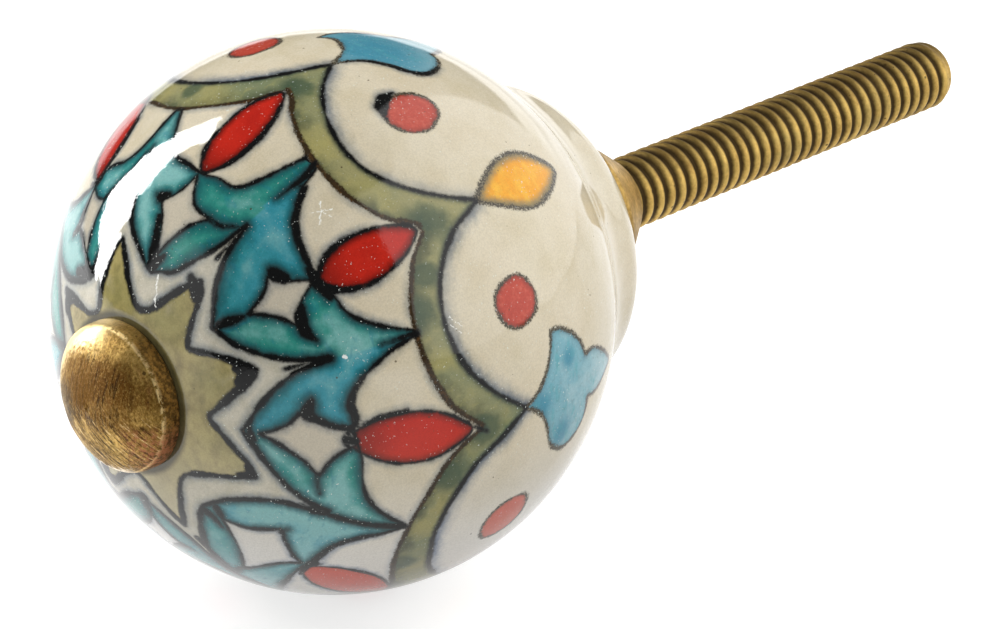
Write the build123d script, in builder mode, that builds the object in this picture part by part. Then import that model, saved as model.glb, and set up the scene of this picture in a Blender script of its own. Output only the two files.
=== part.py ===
"""Ball-shaped ceramic cabinet knob on a threaded brass stud, with a domed cap nut and a cone nut.

Millimetres. The knob's axis is Y: the painted ball and its brass cap face -Y, the stud points +Y.
The origin is the centre of the ceramic's rear face, the face that seats on a drawer front.
Every piece is turned about the Y axis, so each one is a half section on the XY plane, revolved.
"""

import os

from build123d import *

# Ceramic: a ball that runs into a short neck with a rounded rear edge
ball_d = 34.0
neck_d = 20.8
neck_length = 4.55
neck_blend_r = 2.5
rear_edge_r = 3.2
bore_clear = 0.5
bore_chamfer = 0.5

# Domed cap nut on a flat seat at the front of the ball
cap_d = 9.0
cap_side = 1.2
cap_rise = 2.0
cap_edge_r = 0.75
cap_crown = 1.1
seat_margin = 0.25
seat_edge_r = 0.3

# Stud with a 3/16 inch thread, 24 turns to the inch. It is drawn plain: at the thread's outer
# diameter where it is bare, and at its pitch diameter where a nut runs on it.
stud_d = 4.76
pitch_d = 4.07
stud_reach = 40.0
stud_chamfer = 0.8
shank_chamfer = 0.3
stud_tip_gap = 0.2
thread_clear = 0.05

# Cone nut that clamps the ceramic from behind, its base let into a shallow recess
nut_d = 11.0
nut_recess = 1.5
nut_recess_clear = 0.25
nut_proud = 8.0
nut_body_proud = 3.0
nut_tip_wall = 0.35
nut_chamfer = 0.3

# Radii, and places along the axis from front to rear
ball_r = ball_d / 2
neck_r = neck_d / 2
cap_r = cap_d / 2
seat_r = cap_r + seat_margin
stud_r = stud_d / 2
shank_r = pitch_d / 2
tapped_r = shank_r + thread_clear
bore_r = stud_r + bore_clear
nut_r = nut_d / 2
nut_tip_r = stud_r + nut_tip_wall
recess_r = nut_r + nut_recess_clear

rear_y = 0.0
waist_y = rear_y - neck_length
ball_y = waist_y - (ball_r**2 - neck_r**2) ** 0.5
seat_y = ball_y - (ball_r**2 - seat_r**2) ** 0.5
cap_shoulder_y = seat_y - cap_side
cap_top_y = cap_shoulder_y - cap_rise
socket_y = cap_top_y + cap_crown
stud_front_y = socket_y + stud_tip_gap
nut_base_y = rear_y - nut_recess
nut_shoulder_y = rear_y + nut_body_proud
nut_end_y = rear_y + nut_proud
stud_end_y = rear_y + stud_reach


def corner(sketch, x, y):
    """The corner of a section that lies at x, y."""
    return sketch.vertices().sort_by_distance((x, y, 0))[0]


# Ceramic body: front seat, ball, neck and rear recess, with a hole right through
with BuildPart() as ceramic_body:
    with BuildSketch(Plane.XY) as body_section:
        with Locations((0, ball_y)):
            Circle(ball_r)
            Rectangle(neck_d, rear_y - ball_y, align=(Align.CENTER, Align.MIN))
        with Locations((0, seat_y)):
            Rectangle(ball_d, ball_r, align=(Align.CENTER, Align.MAX), mode=Mode.SUBTRACT)
        with Locations((0, rear_y)):
            Rectangle(2 * recess_r, 2 * nut_recess, mode=Mode.SUBTRACT)
        with Locations((bore_r, ball_y)):
            Rectangle(ball_d, 2 * ball_d, align=(Align.MAX, Align.CENTER), mode=Mode.SUBTRACT)
        fillet(corner(body_section, neck_r, waist_y), neck_blend_r)
        fillet(corner(body_section, neck_r, rear_y), rear_edge_r)
        fillet(corner(body_section, seat_r, seat_y), seat_edge_r)
        chamfer(corner(body_section, bore_r, seat_y), bore_chamfer)
        chamfer(corner(body_section, bore_r, nut_base_y), bore_chamfer)
    revolve(axis=Axis.Y)
ceramic_body.part.label = "ceramic_body"

# Domed cap nut with a blind hole for the front of the stud
with BuildPart() as front_cap:
    with BuildSketch(Plane.XY) as cap_section:
        with BuildLine():
            side = Polyline((0, seat_y), (cap_r, seat_y), (cap_r, cap_shoulder_y))
            dome_r = (cap_r**2 + cap_rise**2) / (2 * cap_rise)
            dome = RadiusArc(side @ 1, (0, cap_top_y), dome_r)
            Line(dome @ 1, side @ 0)
        make_face()
        with Locations((0, seat_y)):
            Rectangle(2 * tapped_r, seat_y - socket_y, align=(Align.CENTER, Align.MAX), mode=Mode.SUBTRACT)
        fillet(corner(cap_section, cap_r, cap_shoulder_y), cap_edge_r)
    revolve(axis=Axis.Y)
front_cap.part.label = "front_cap"

# Stud: a plain shank inside the knob and a bare threaded length behind it
with BuildPart() as threaded_stud:
    with BuildSketch(Plane.XY) as stud_section:
        with Locations((0, stud_front_y)):
            Rectangle(shank_r, nut_end_y - stud_front_y, align=(Align.MIN, Align.MIN))
        with Locations((0, nut_end_y)):
            Rectangle(stud_r, stud_end_y - nut_end_y, align=(Align.MIN, Align.MIN))
        chamfer(corner(stud_section, shank_r, stud_front_y), shank_chamfer)
        chamfer(corner(stud_section, stud_r, stud_end_y), stud_chamfer)
    revolve(axis=Axis.Y)
threaded_stud.part.label = "threaded_stud"

# Cone nut: a round body and a cone that narrows to the thread
with BuildPart() as cone_nut:
    with BuildSketch(Plane.XY) as nut_section:
        with BuildLine():
            Polyline(
                (tapped_r, nut_base_y),
                (nut_r, nut_base_y),
                (nut_r, nut_shoulder_y),
                (nut_tip_r, nut_end_y),
                (tapped_r, nut_end_y),
                close=True,
            )
        make_face()
        chamfer(corner(nut_section, nut_r, nut_base_y), nut_chamfer)
    revolve(axis=Axis.Y)
cone_nut.part.label = "cone_nut"

os.makedirs("parts", exist_ok=True)
for piece in (ceramic_body, front_cap, threaded_stud, cone_nut):
    export_step(piece.part, f"parts/{piece.part.label}.step")
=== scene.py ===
"""Round ceramic cabinet knob, painted by hand under a clear glaze.

It has a domed brass cap in front, and a threaded brass stud with a cone nut behind. The knob's axis is Y.
The cap faces -Y, the stud points +Y, and +Z is up. Lengths are metres.
"""

import math

import bmesh
import bpy
import numpy as np
from mathutils import Matrix, Vector


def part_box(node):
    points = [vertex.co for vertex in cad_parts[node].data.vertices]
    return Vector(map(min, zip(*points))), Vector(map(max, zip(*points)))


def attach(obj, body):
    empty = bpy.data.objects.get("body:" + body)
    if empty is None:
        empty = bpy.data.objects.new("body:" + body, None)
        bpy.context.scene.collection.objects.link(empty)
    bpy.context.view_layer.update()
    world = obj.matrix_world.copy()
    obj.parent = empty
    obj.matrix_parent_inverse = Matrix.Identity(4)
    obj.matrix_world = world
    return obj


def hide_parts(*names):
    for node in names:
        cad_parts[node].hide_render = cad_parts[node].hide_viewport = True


bl_info = {
    "name": "Painted Cabinet Knob",
    "version": (1, 0, 0),
    "blender": (4, 5, 0),
    "location": "View3D > Sidebar > Knob",
    "description": "Builds a hand-painted ceramic cabinet knob with brass fittings",
    "category": "Object",
}

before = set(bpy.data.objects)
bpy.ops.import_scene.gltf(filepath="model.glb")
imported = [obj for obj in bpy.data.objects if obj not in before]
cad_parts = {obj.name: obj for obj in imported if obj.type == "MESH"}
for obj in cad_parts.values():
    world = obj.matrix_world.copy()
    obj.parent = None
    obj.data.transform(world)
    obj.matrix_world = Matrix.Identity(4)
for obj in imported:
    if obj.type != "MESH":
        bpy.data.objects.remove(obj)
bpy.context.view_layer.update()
CERAMIC_LOW, CERAMIC_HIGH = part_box("ceramic_body")
CAP_LOW, CAP_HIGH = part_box("front_cap")
NUT_LOW, NUT_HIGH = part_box("cone_nut")
STUD_LOW, STUD_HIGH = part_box("threaded_stud")
MM = 0.001


def rounded(value):
    """A CAD size, rounded to a hundredth of a millimetre."""
    return round(value, 5)


# Painted pattern. Points are (azimuth, polar angle) in degrees about the painter's pole, near the cap.
# The strokes of five petals are drawn one by one, and the other three repeat a plain petal.

# How the painter's pole leans away from the knob's axis, how far the pattern is turned about it, and the
# polar angle past which the ball is bare. Angles are degrees.
PATTERN_LEAN = 4.455
PATTERN_LEAN_AXIS = (0.0808, 0.9967, 0.0)
PATTERN_TURN = 16.6
PATTERN_START = -0.68
PAINT_END = 122.0

STAR_EDGE = [
    [(-45.5, 30.3), (-43, 27.6), (-39, 23.8), (-34.5, 20.6), (-29, 19.2), (-24, 19.0), (-20.5, 20.4),
     (-17, 22.8), (-12, 26), (-7.5, 29), (-3, 31.2)],
    [(-3, 31.2), (0, 27.5), (3, 23.5), (6.5, 20.8), (11, 18.6), (17, 17.8), (23, 18.5), (28, 20.3),
     (33, 23.2), (38, 26.5), (41.5, 28.4)],
    [(41.5, 28.4), (45, 26.8), (49, 23), (54, 19.5), (59.5, 18), (65, 19.2), (70, 21.2), (75, 23.6),
     (80, 26.6), (84.2, 28.6)],
    [(84.2, 28.6), (89, 26), (94, 22.5), (99, 19.7), (104, 17.8), (108, 17.4), (113, 18.9), (118, 21),
     (123, 23.5), (128, 26.6), (132, 28.3)],
    [(132, 28.3), (136, 26), (140, 23.5), (145, 21), (150, 19.4), (156, 18.1), (162, 17.7), (168, 18.5),
     (174, 20.6), (180, 23.8), (184, 27.3), (187, 29.5)],
]
STAR_EDGE_PLAIN = [(-1, 29.6), (-0.85, 26.6), (-0.66, 22.9), (-0.42, 19.6), (-0.15, 18), (0.12, 17.9),
                   (0.4, 19.4), (0.65, 22.6), (0.85, 26.4), (1, 29.4)]

ARCH_EDGE = [
    [(-45.4, 42), (-44.6, 37.5), (-43, 33.5), (-40, 30.4), (-35, 28.2), (-30, 26.7), (-25, 26.2)],
    [(-25, 26.2), (-20, 27.8), (-15, 30.6), (-10, 34), (-6, 37.5), (-2.5, 42)],
    [(-1.8, 42), (-1.2, 38.5), (0.2, 34.6), (4, 31), (9, 28.4), (13.5, 26.2), (17, 25.2)],
    [(17, 25.2), (22, 26), (27, 26.6), (31, 28.4), (35, 31.5), (38.5, 35), (40.4, 39), (41.2, 42.5)],
    [(41.8, 42.5), (42.2, 39), (43.2, 35.5), (46, 31.6), (50, 28.7), (55, 26.2), (59.5, 24.4)],
    [(59.5, 24.4), (65, 25.2), (70, 26.2), (75, 28.2), (80, 31.2), (83.8, 35.3), (86, 40), (86.4, 43)],
    [(87, 43), (87.6, 38), (89, 35), (93, 31), (98, 28.1), (103, 26.3), (108, 25), (111, 24.2)],
    [(111, 24.2), (116, 26), (122, 28.6), (127, 31.6), (131, 35), (134.3, 39.5), (135.5, 44)],
    [(136.8, 43.5), (137.2, 38), (138.6, 34.5), (142, 31.2), (147, 28.3), (153, 26.2), (160, 25.3),
     (166, 24.8)],
    [(166, 24.8), (172, 26.6), (177, 29.2), (181, 32.5), (184.5, 36.5), (187, 42)],
]
ARCH_EDGE_PLAIN = [(-0.985, 42), (-0.95, 37.5), (-0.88, 34), (-0.72, 30.8), (-0.5, 28), (-0.25, 26),
                   (-0.05, 24.8), (0.2, 25.6), (0.45, 27.4), (0.7, 30.8), (0.87, 34.5), (0.96, 39),
                   (0.985, 42)]

LEAF_FOOT = [
    [(-44.3, 60), (-42.5, 55), (-39, 50.5), (-34, 48), (-29, 47.2), (-22.5, 47), (-20, 48.8), (-16, 49.2),
     (-11, 48.8), (-6, 50.6), (-2.6, 55), (-0.2, 60.2)],
    [(1.8, 60), (3.8, 55.5), (6, 51.3), (9.5, 48.5), (14, 47.5), (20.5, 46.5), (25.5, 47), (30, 46.8),
     (33, 48), (35.5, 51), (37.6, 55), (39.7, 60)],
    [(43.4, 59.7), (45, 55), (48, 51), (51, 48.6), (56, 47.2), (60, 47), (66.5, 46.5), (72, 47.8),
     (76, 48.5), (79, 50), (82, 53), (84.4, 56.5), (86.1, 59.8)],
    [(87.3, 59.5), (88.8, 55), (91, 51.5), (94, 48), (97, 46), (101, 45), (105, 45.3), (111, 46),
     (116, 47.4), (122, 48.2), (127, 49.6), (131, 52.5), (134, 56.5), (135.4, 59.8)],
    [(137, 59.8), (140, 56), (142.5, 52.6), (146, 50), (152, 48.8), (158, 49), (163, 49.3), (168, 50.4),
     (173, 52.4), (178, 55), (182, 58), (186, 62)],
]
LEAF_FOOT_PLAIN = [(-0.96, 60), (-0.86, 55), (-0.72, 51), (-0.55, 48.4), (-0.32, 47.1), (0, 46.6),
                   (0.32, 47.4), (0.52, 48.6), (0.7, 51), (0.86, 55), (0.95, 60)]

SCALLOP_FRONT = [
    [(-22, 71), (-18, 68), (-14, 66), (-11, 64.5), (-7, 62.4), (-3, 61), (2, 60.3), (8, 61), (13, 62.5),
     (18, 64.8), (22, 69)],
    [(23, 71), (26, 69), (29, 66), (34, 63), (40, 60.8), (46, 60), (52, 60.3), (57, 61.7), (62, 64.2),
     (66, 69)],
    [(67.5, 69), (69, 67.5), (72, 64.6), (77, 62), (83, 60.3), (89, 60), (95, 60.8), (100, 62.5),
     (105, 65.2), (109, 69.5), (110.5, 71.5)],
    [(111.5, 71), (113, 69), (116, 66.2), (120, 64), (125, 62.5), (132, 61.3), (138, 61.3), (144, 62),
     (150, 64), (155, 66.6), (160, 70), (165, 73.5)],
    [(168, 74), (171, 71), (176, 67), (181, 65), (187, 64), (193, 64.5), (198, 66.5), (203, 70), (206, 73)],
]
SCALLOP_FRONT_PLAIN = [(-0.98, 71), (-0.86, 68.2), (-0.7, 65.2), (-0.48, 62.5), (-0.24, 60.8), (0, 60.2),
                       (0.25, 60.7), (0.5, 62.6), (0.72, 65.4), (0.87, 68.4), (0.98, 71)]

SCALLOP_REAR = [
    [(-21, 83), (-19, 79.5), (-15, 75), (-10, 71.6), (-4.5, 69.2), (0, 68.3), (6, 68.1), (12, 69.6),
     (17, 72.6), (21, 76.8), (24.2, 82)],
    [(24.5, 82), (27, 77.6), (30, 73.6), (35, 69.6), (40, 67.3), (45, 66.3), (50, 66.6), (55, 68.6),
     (60, 72.6), (64, 78), (66.5, 82.8)],
    [(66.8, 82.8), (68, 80), (70, 75.2), (74, 70.6), (79, 67.6), (85, 66.1), (91, 66.5), (96, 68),
     (100, 70.5), (105, 75.6), (109.4, 82)],
    [(109.7, 82), (114, 77), (118, 72.6), (122, 70), (128, 68.1), (134, 67.5), (140, 68.2), (146, 70.5),
     (152, 74), (158, 80), (162.5, 86)],
    [(163.5, 86), (167, 80), (171, 75), (176, 71.5), (182, 69.5), (188, 69.2), (194, 70.5), (199, 74),
     (203, 79), (206, 84)],
]
SCALLOP_REAR_PLAIN = [(-1, 83), (-0.86, 78), (-0.7, 73.8), (-0.48, 69.8), (-0.24, 67.4), (0, 66.5),
                      (0.24, 67), (0.48, 69.2), (0.7, 73), (0.86, 77.5), (1, 82.5)]

PETALS = [
    [(-22.3, 47.8), (-18, 51), (-15.6, 55), (-14.4, 60), (-15.2, 65), (-18.5, 71), (-23, 66.5), (-26, 61),
     (-27, 55.5), (-25.6, 50.8)],
    [(20.2, 46.6), (23.6, 48.6), (26, 52.2), (27.1, 57), (26.8, 62), (25.4, 66.5), (23, 69.6), (20.8, 67.4),
     (18.4, 63), (16.9, 57.5), (16.6, 52), (17.9, 48.4)],
    [(66.8, 45.4), (70, 47.8), (72.2, 51.5), (72.8, 56), (71.6, 61), (69.6, 65), (66.7, 68), (64, 65.2),
     (62, 60.5), (61.2, 55.5), (61.9, 51), (63.9, 47.8)],
    [(110.8, 44.4), (114.4, 46.8), (116.8, 51), (117.6, 56), (116.6, 61.5), (114, 66.2), (110.8, 69.4),
     (107.8, 66.2), (105.3, 61.5), (104.4, 56), (105.3, 50.5), (107.4, 46.8)],
    [(161.2, 50), (165.6, 51.6), (168.8, 56), (170.2, 61.5), (170.4, 67.5), (167.2, 74.6), (162, 70.5),
     (158.2, 66), (156.2, 61), (156.4, 55.6), (158.4, 51.8)],
]
PETAL_PLAIN = [(0, 45.5), (4, 48), (6.2, 52.5), (6.4, 57), (5, 62), (2.6, 66.5), (0, 70), (-2.8, 66.5),
               (-5.2, 62), (-6.4, 57), (-5.8, 52), (-3.8, 47.8)]

# Each window is four hollow sides between four points
WINDOWS = [
    [[(-25.8, 31), (-24.2, 33), (-21.4, 36), (-18.6, 38.8), (-16, 41.2)],
     [(-16, 41.2), (-19, 42.2), (-21.2, 43.8), (-23, 46.4)],
     [(-23, 46.4), (-24.8, 44), (-27, 41.8), (-30, 39.4)],
     [(-30, 39.4), (-28.4, 37.2), (-26.9, 34.2), (-25.8, 31)]],
    [[(17.4, 28.6), (19.4, 30.8), (22.6, 33.8), (26.2, 36.8), (31, 39.3)],
     [(31, 39.3), (26.4, 39.5), (23, 40.5), (20.8, 42.6), (19, 45.8)],
     [(19, 45.8), (17.3, 43), (15, 40.9), (10.8, 39.2)],
     [(10.8, 39.2), (13.2, 36.7), (15, 33.8), (16.2, 31), (17.4, 28.6)]],
    [[(64, 31.8), (66, 33.7), (69, 35.9), (72.2, 37.9), (76, 39.7)],
     [(76, 39.7), (71.8, 40.5), (69, 41.9), (67.2, 43.8), (65.7, 46.2)],
     [(65.7, 46.2), (63.9, 43.8), (61.8, 41.4), (57.6, 38.9)],
     [(57.6, 38.9), (60, 37.4), (61.8, 35.4), (63, 33.4), (64, 31.8)]],
    [[(111.3, 27.6), (113.6, 30.6), (116.8, 34), (120, 37.2), (124, 39.9)],
     [(124, 39.9), (119.6, 40.9), (116.5, 42.3), (114.2, 44), (112.4, 46)],
     [(112.4, 46), (108.4, 45), (107.2, 41.8), (105.6, 39), (102.2, 35.4)],
     [(102.2, 35.4), (105.8, 33.4), (108.4, 31), (110, 29.2), (111.3, 27.6)]],
    [[(163.6, 29.4), (166.5, 32.8), (170, 36.9), (174.6, 41), (179.5, 45)],
     [(179.5, 45), (172, 44.6), (166, 45.2), (162.6, 46.4), (160.4, 47.9)],
     [(160.4, 47.9), (158.6, 44.9), (155.6, 42.2), (153.2, 40.4), (149.8, 38.7)],
     [(149.8, 38.7), (153.8, 36.2), (158, 34.1), (161.2, 31.6), (163.6, 29.4)]],
]
WINDOW_PLAIN = [
    [(-1.5, 29.8), (0, 32.5), (3.5, 35.8), (6.5, 38), (9.5, 39.4)],
    [(9.5, 39.4), (5.5, 39.8), (2.8, 41.3), (1, 43.6), (-0.5, 45.6)],
    [(-0.5, 45.6), (-2, 43), (-4.5, 40.8), (-8.5, 38.8)],
    [(-8.5, 38.8), (-6, 36.6), (-3.8, 34), (-2.4, 31.8), (-1.5, 29.8)],
]

# Loose brush marks: widths in millimetres from start to end, then the points
BRUSH_MARKS = [
    ((0.3, 0.4, 0.3), [(-45, 40), (-44.8, 50), (-44.4, 60)]),
    ((0.3, 0.15), [(-1.5, 42), (-1.4, 47), (-1.2, 51)]),
    ((0.35, 0.25, 0.1), [(41.2, 34), (41.4, 38), (41.6, 43)]),
    ((0.1, 0.3, 0.5, 0.45), [(42.3, 50), (42.8, 53.5), (43.1, 57), (42.2, 60.3)]),
    ((0.3, 0.25, 0.1), [(86.5, 34), (86.6, 37.5), (86.7, 42)]),
    ((0.1, 0.35, 0.5), [(87, 53), (87, 57), (86.9, 60)]),
    ((0.2, 0.4, 0.4, 0.6), [(136, 38.5), (136.9, 46), (137.1, 53), (136.3, 60)]),
    ((0.35, 0.35, 0.3), [(187, 41), (187, 50), (187, 62)]),
    ((0.2, 0.75, 0.5), [(7.9, 40.2), (10.4, 39.8), (13.0, 40.4)]),
    ((0.7, 0.85, 0.6, 0.4), [(17.2, 26.6), (15.4, 29), (14.2, 32), (12.4, 36)]),
    ((0.3, 0.6, 0.7), [(20.8, 29), (18.6, 27.6), (15.4, 26.6)]),
    ((0.35, 0.3, 0.15), [(30.5, 39.3), (35, 39.3), (40.6, 41.5)]),
    ((0.2, 0.9, 0.6), [(55.6, 40.2), (58.4, 40.3), (61.4, 41.6)]),
    ((0.5, 0.6, 0.3), [(60.4, 25.6), (62, 28), (63.8, 31)]),
    ((0.4, 0.85, 0.75, 0.2), [(69.6, 41.6), (73.4, 40.3), (77.4, 40.2), (81, 41.6)]),
    ((0.6, 1.1, 0.6), [(80.6, 25.8), (84.3, 27.2), (88, 25.4)]),
    ((0.1, 0.6, 0.85, 0.5), [(97.4, 38.2), (99.8, 37.4), (102.6, 36.8), (105, 38.8)]),
    ((0.5, 0.4, 0.35), [(105, 38.8), (106.8, 42), (107.4, 45)]),
    ((0.3, 0.5, 0.3), [(108.2, 25.4), (111.4, 25.6), (114.6, 26.6)]),
    ((0.3, 0.25, 0.1), [(122.5, 39.6), (126, 39.9), (130, 41)]),
    ((0.45, 0.8, 0.45), [(129, 26.4), (132.2, 27.4), (135.4, 25.4)]),
    ((0.15, 0.4), [(148.4, 39.4), (151.5, 38.9)]),
    ((0.5, 0.5, 0.3), [(160.6, 26.4), (162.2, 28.2), (163.6, 29.6)]),
    ((0.6, 0.4, 0.25), [(168, 26.4), (167, 28.2), (167.5, 31)]),
    ((0.3, 0.25, 0.15), [(177.6, 44.6), (182, 45.4), (186.5, 48)]),
    ((0.2, 0.6, 0.4), [(-33.5, 39.3), (-30, 39.5), (-27, 42)]),
    ((0.3, 0.25, 0.12), [(-16.5, 41.2), (-11, 43.4), (-6, 46), (-2.6, 49.6)]),
    ((0.8, 0.9, 0.6), [(-22, 27), (-27, 27.6), (-33, 29.6)]),
    ((0.8, 0.5, 0.35), [(-25.2, 26.8), (-25.5, 29), (-25.8, 31)]),
    ((0.5, 0.9, 0.7), [(36.6, 28.2), (40.6, 27.2), (44.6, 25.8)]),
    ((0.2, 0.85, 0.9, 0.2), [(38.6, 84.5), (38.9, 81.8), (40.4, 79.6), (43.6, 78.0)]),
    ((0.25, 0.35, 0.15), [(110.4, 69.6), (111.2, 71), (112.4, 73)]),
    ((0.35, 0.45, 0.3, 0.15), [(65.5, 46.6), (62, 50.2), (60.9, 55), (62, 60.5)]),
    ((0.5, 0.5, 0.35, 0.15), [(67.2, 46.2), (71.2, 49.6), (72.9, 55), (71.6, 61)]),
    ((0.5, 0.8, 0.5), [(62.4, 46.3), (66.8, 46.2), (71.6, 47.2)]),
    ((0.25, 0.4, 0.45, 0.4, 0.2), [(20.6, 46.4), (25.4, 50.4), (27.4, 56.5), (27, 62.5), (24.2, 69)]),
    ((0.2, 0.4, 0.3), [(19, 47), (16.6, 51), (16.4, 56)]),
    ((0.25, 0.45, 0.6, 0.5, 0.4), [(93.6, 48.4), (97.4, 46), (101.4, 45.2), (105, 46), (108, 44.8)]),
    ((0.3, 0.4, 0.3), [(107.6, 45), (110.8, 43.8), (113.6, 45)]),
    ((0.2, 0.4, 0.3), [(108, 45.6), (104.9, 50.5), (104, 56)]),
    ((0.5, 0.45, 0.5, 0.45), [(45, 55.5), (48.4, 51.2), (54, 47.9), (61, 46.6)]),
    ((0.35, 0.45, 0.4, 0.5), [(139.4, 57), (143.2, 52.2), (149.5, 49.2), (158.5, 49.4)]),
    ((0.4, 0.6, 0.35), [(157.6, 50.8), (161, 49.6), (166, 51)]),
    ((0.4, 0.6, 0.3), [(-25.4, 48.2), (-22.3, 47), (-18.6, 49.4)]),
    ((0.4, 0.6, 0.4), [(-18.4, 50), (-15.2, 54.6), (-13.9, 60.5)]),
    ((0.8, 1.2, 0.8), [(81.5, 25.4), (84.4, 26.8), (87.5, 24.9)]),
    ((0.5, 0.6), [(110.9, 44.2), (111.2, 45.8)]),
    ((0.8, 0.6, 0.4), [(84.4, 27.4), (89, 25.2), (94, 21.9), (98, 19.8)]),
    ((0.3, 0.5, 0.8), [(70, 21.4), (76, 24), (80, 25.8), (84, 27.4)]),
    ((0.2, 0.3, 0.35, 0.4, 0.4, 0.3),
     [(25.6, 85), (28, 88.3), (31.5, 90.8), (35.4, 93.2), (37.2, 97), (36, 101.5)]),
]
BRUSH_MARKS_PLAIN = [
    ((0.6, 0.35, 0.15), [(-22, 34), (-21.9, 40), (-21.8, 46)]),
    ((0.15, 0.5, 0.6), [(-21.4, 50), (-21.2, 55), (-21.6, 60)]),
    ((0.9, 0.6, 0.35), [(-1.2, 25.2), (-1.4, 27.4), (-1.6, 29.8)]),
    ((0.15, 0.6, 0.35), [(-12, 39.6), (-8.8, 39.2), (-6.2, 40.4)]),
    ((0.35, 0.15), [(9.4, 39.4), (14, 40.2)]),
    ((0.3, 0.55, 0.4), [(-3.6, 47), (0, 45.6), (3.6, 47)]),
    ((0.4, 0.5, 0.2), [(4, 48), (6.6, 54.6), (5, 61.5)]),
    ((0.7, 1.1, 0.7), [(17.8, 26.6), (21.8, 27.8), (25.6, 26.4)]),
]

# Fine nicks that have broken the glaze, and one painted glint: width in millimetres, then the points
NICKS = [
    (0.08, [(50.2, 55.6), (52.2, 54.6), (54.6, 52.6)]),
    (0.07, [(51.2, 52.9), (52.2, 54.6), (53.4, 56.4)]),
    (0.06, [(52.4, 54.6), (54.8, 55.4)]),
    (0.09, [(21.4, 25.4), (22.0, 23.6), (24.0, 22.2), (24.2, 20.6), (26.4, 19.4)]),
    # A painted glint: a short wide white spot of light, not a nick
    (0.2, [(87.3, 45.5), (87.7, 45.8)]),
    (0.06, [(86, 67.2), (88.4, 69.2)]),
    (0.06, [(87.6, 67), (89.8, 68.8)]),
]

# Where the scallops turn dark green or yellow: azimuth, polar angle and reach in degrees
GREEN_PATCHES = [(24, 73, 6), (66.5, 71, 7), (83, 62.5, 6), (76, 65.5, 5), (111, 72, 6), (121, 66, 6),
                 (150, 66, 5), (0, 66, 4), (207, 72, 6), (248, 71, 6), (292, 72, 6)]
YELLOW_PATCHES = [(-12, 67, 10), (8, 64, 9), (38, 63, 8), (54, 64, 6), (136, 65, 6), (94, 64, 4),
                  (227, 64, 9)]

# Where the tulips are deep blue
DEEP_PATCHES = [(24, 94, 17), (111, 86, 5), (119, 94, 4), (103, 95, 3), (207, 86, 5), (292, 88, 8)]

# Each dot: azimuth, polar angle, half width and half height in degrees
DOTS = [(3, 83, 5.2, 5.4), (44.6, 83.8, 5.0, 6.1), (87.8, 82.6, 5.1, 5.2), (137.8, 85.1, 6.3, 5.6),
        (186, 86, 5.8, 5.5), (227.5, 83, 5.4, 5.4), (270.5, 82.4, 5.2, 5.6), (314.5, 82.6, 5.4, 5.3)]

# Each tulip is four sides between four points
TULIP_RIGHT = [
    [(109.6, 81.5), (110.5, 84), (113, 87), (116.5, 89), (119.8, 90.4), (122.3, 92.8), (123.6, 96),
     (122.8, 99.8), (120.3, 102.6), (117, 103.4), (114.6, 103)],
    [(114.6, 103), (115.3, 106.5), (114.8, 110), (113.3, 113.5), (112, 115.6), (109.2, 113),
     (106.3, 109), (104.3, 104.5), (104.6, 101)],
    [(104.6, 101), (101.5, 99.6), (98.6, 96.8), (96.3, 93), (96, 89.8)],
    [(96, 89.8), (99.3, 89.3), (103, 88), (106.5, 85.8), (108.5, 83.6), (109.6, 81.5)],
]
TULIP_LEFT = [
    [(24.4, 81.8), (25.6, 85), (28, 88.3), (31.5, 90.8), (35, 93), (36.8, 94.2), (37.3, 97.5),
     (36, 101.5), (33.3, 104.6), (30.8, 105.6)],
    [(30.8, 105.6), (29.6, 109.4), (27.6, 112.6), (25.6, 114.2), (23, 112), (21, 107.5), (20, 103.5)],
    [(20, 103.5), (17, 101), (14.2, 97.5), (13, 94), (13.2, 90.6)],
    [(13.2, 90.6), (15.2, 91.8), (17.4, 91.6), (20.3, 89.8), (22.8, 87), (24.4, 81.8)],
]
# Which tulip stands where, and how far it is moved round the ball
TULIP_TURNS = [(TULIP_RIGHT, 0), (TULIP_LEFT, 0), (TULIP_RIGHT, 96.5), (TULIP_LEFT, 268)]
BUD = [(0, 82.5), (1.6, 85), (3.6, 89), (5.4, 94), (5.7, 98.5), (4.4, 103), (2.6, 107), (0, 110),
       (-2.6, 107), (-5, 102.5), (-6.1, 97.5), (-5.3, 92), (-3, 87), (-1.2, 84.4)]
BUD_AZIMUTHS = (66.6, 163, 248.5, 338.2)

# The three petals and scallops that the far side repeats: middle and half width, in degrees of azimuth
PLAIN_PETALS = [(207, 20), (248.75, 21.75), (292.5, 22)]
PLAIN_SCALLOPS = [(227.5, 21.3), (270.5, 21.8), (315, 22.6)]

# Leaf hue, from green at 0 to blue at 1, and lightness, for each leaf, and the azimuth where each begins
LEAF_TONES = [(0.4, 0.72), (0.3, 0.5), (0.45, 0.8), (0.08, 0.42), (0.72, 0.46), (0.15, 0.58), (0.75, 0.44),
              (0.25, 0.6), (0.95, 0.82), (0.5, 0.74), (0.4, 0.45), (0.15, 0.4), (0.6, 0.5), (0.2, 0.35),
              (0.7, 0.6), (0.3, 0.45)]
LEAF_STARTS = [-45.3, -23, -2, 19, 41.5, 66, 86.7, 111, 136, 163, 187, 207, 227, 248.7, 270.5, 292.5]


def shifted(points, azimuth):
    """The same points, moved round the ball."""
    return [(a + azimuth, t) for a, t in points]


def spread(points, middle, half):
    """A plain petal's points, given as shares of its half width, at one place round the ball."""
    return [(middle + u * half, t) for u, t in points]


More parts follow.
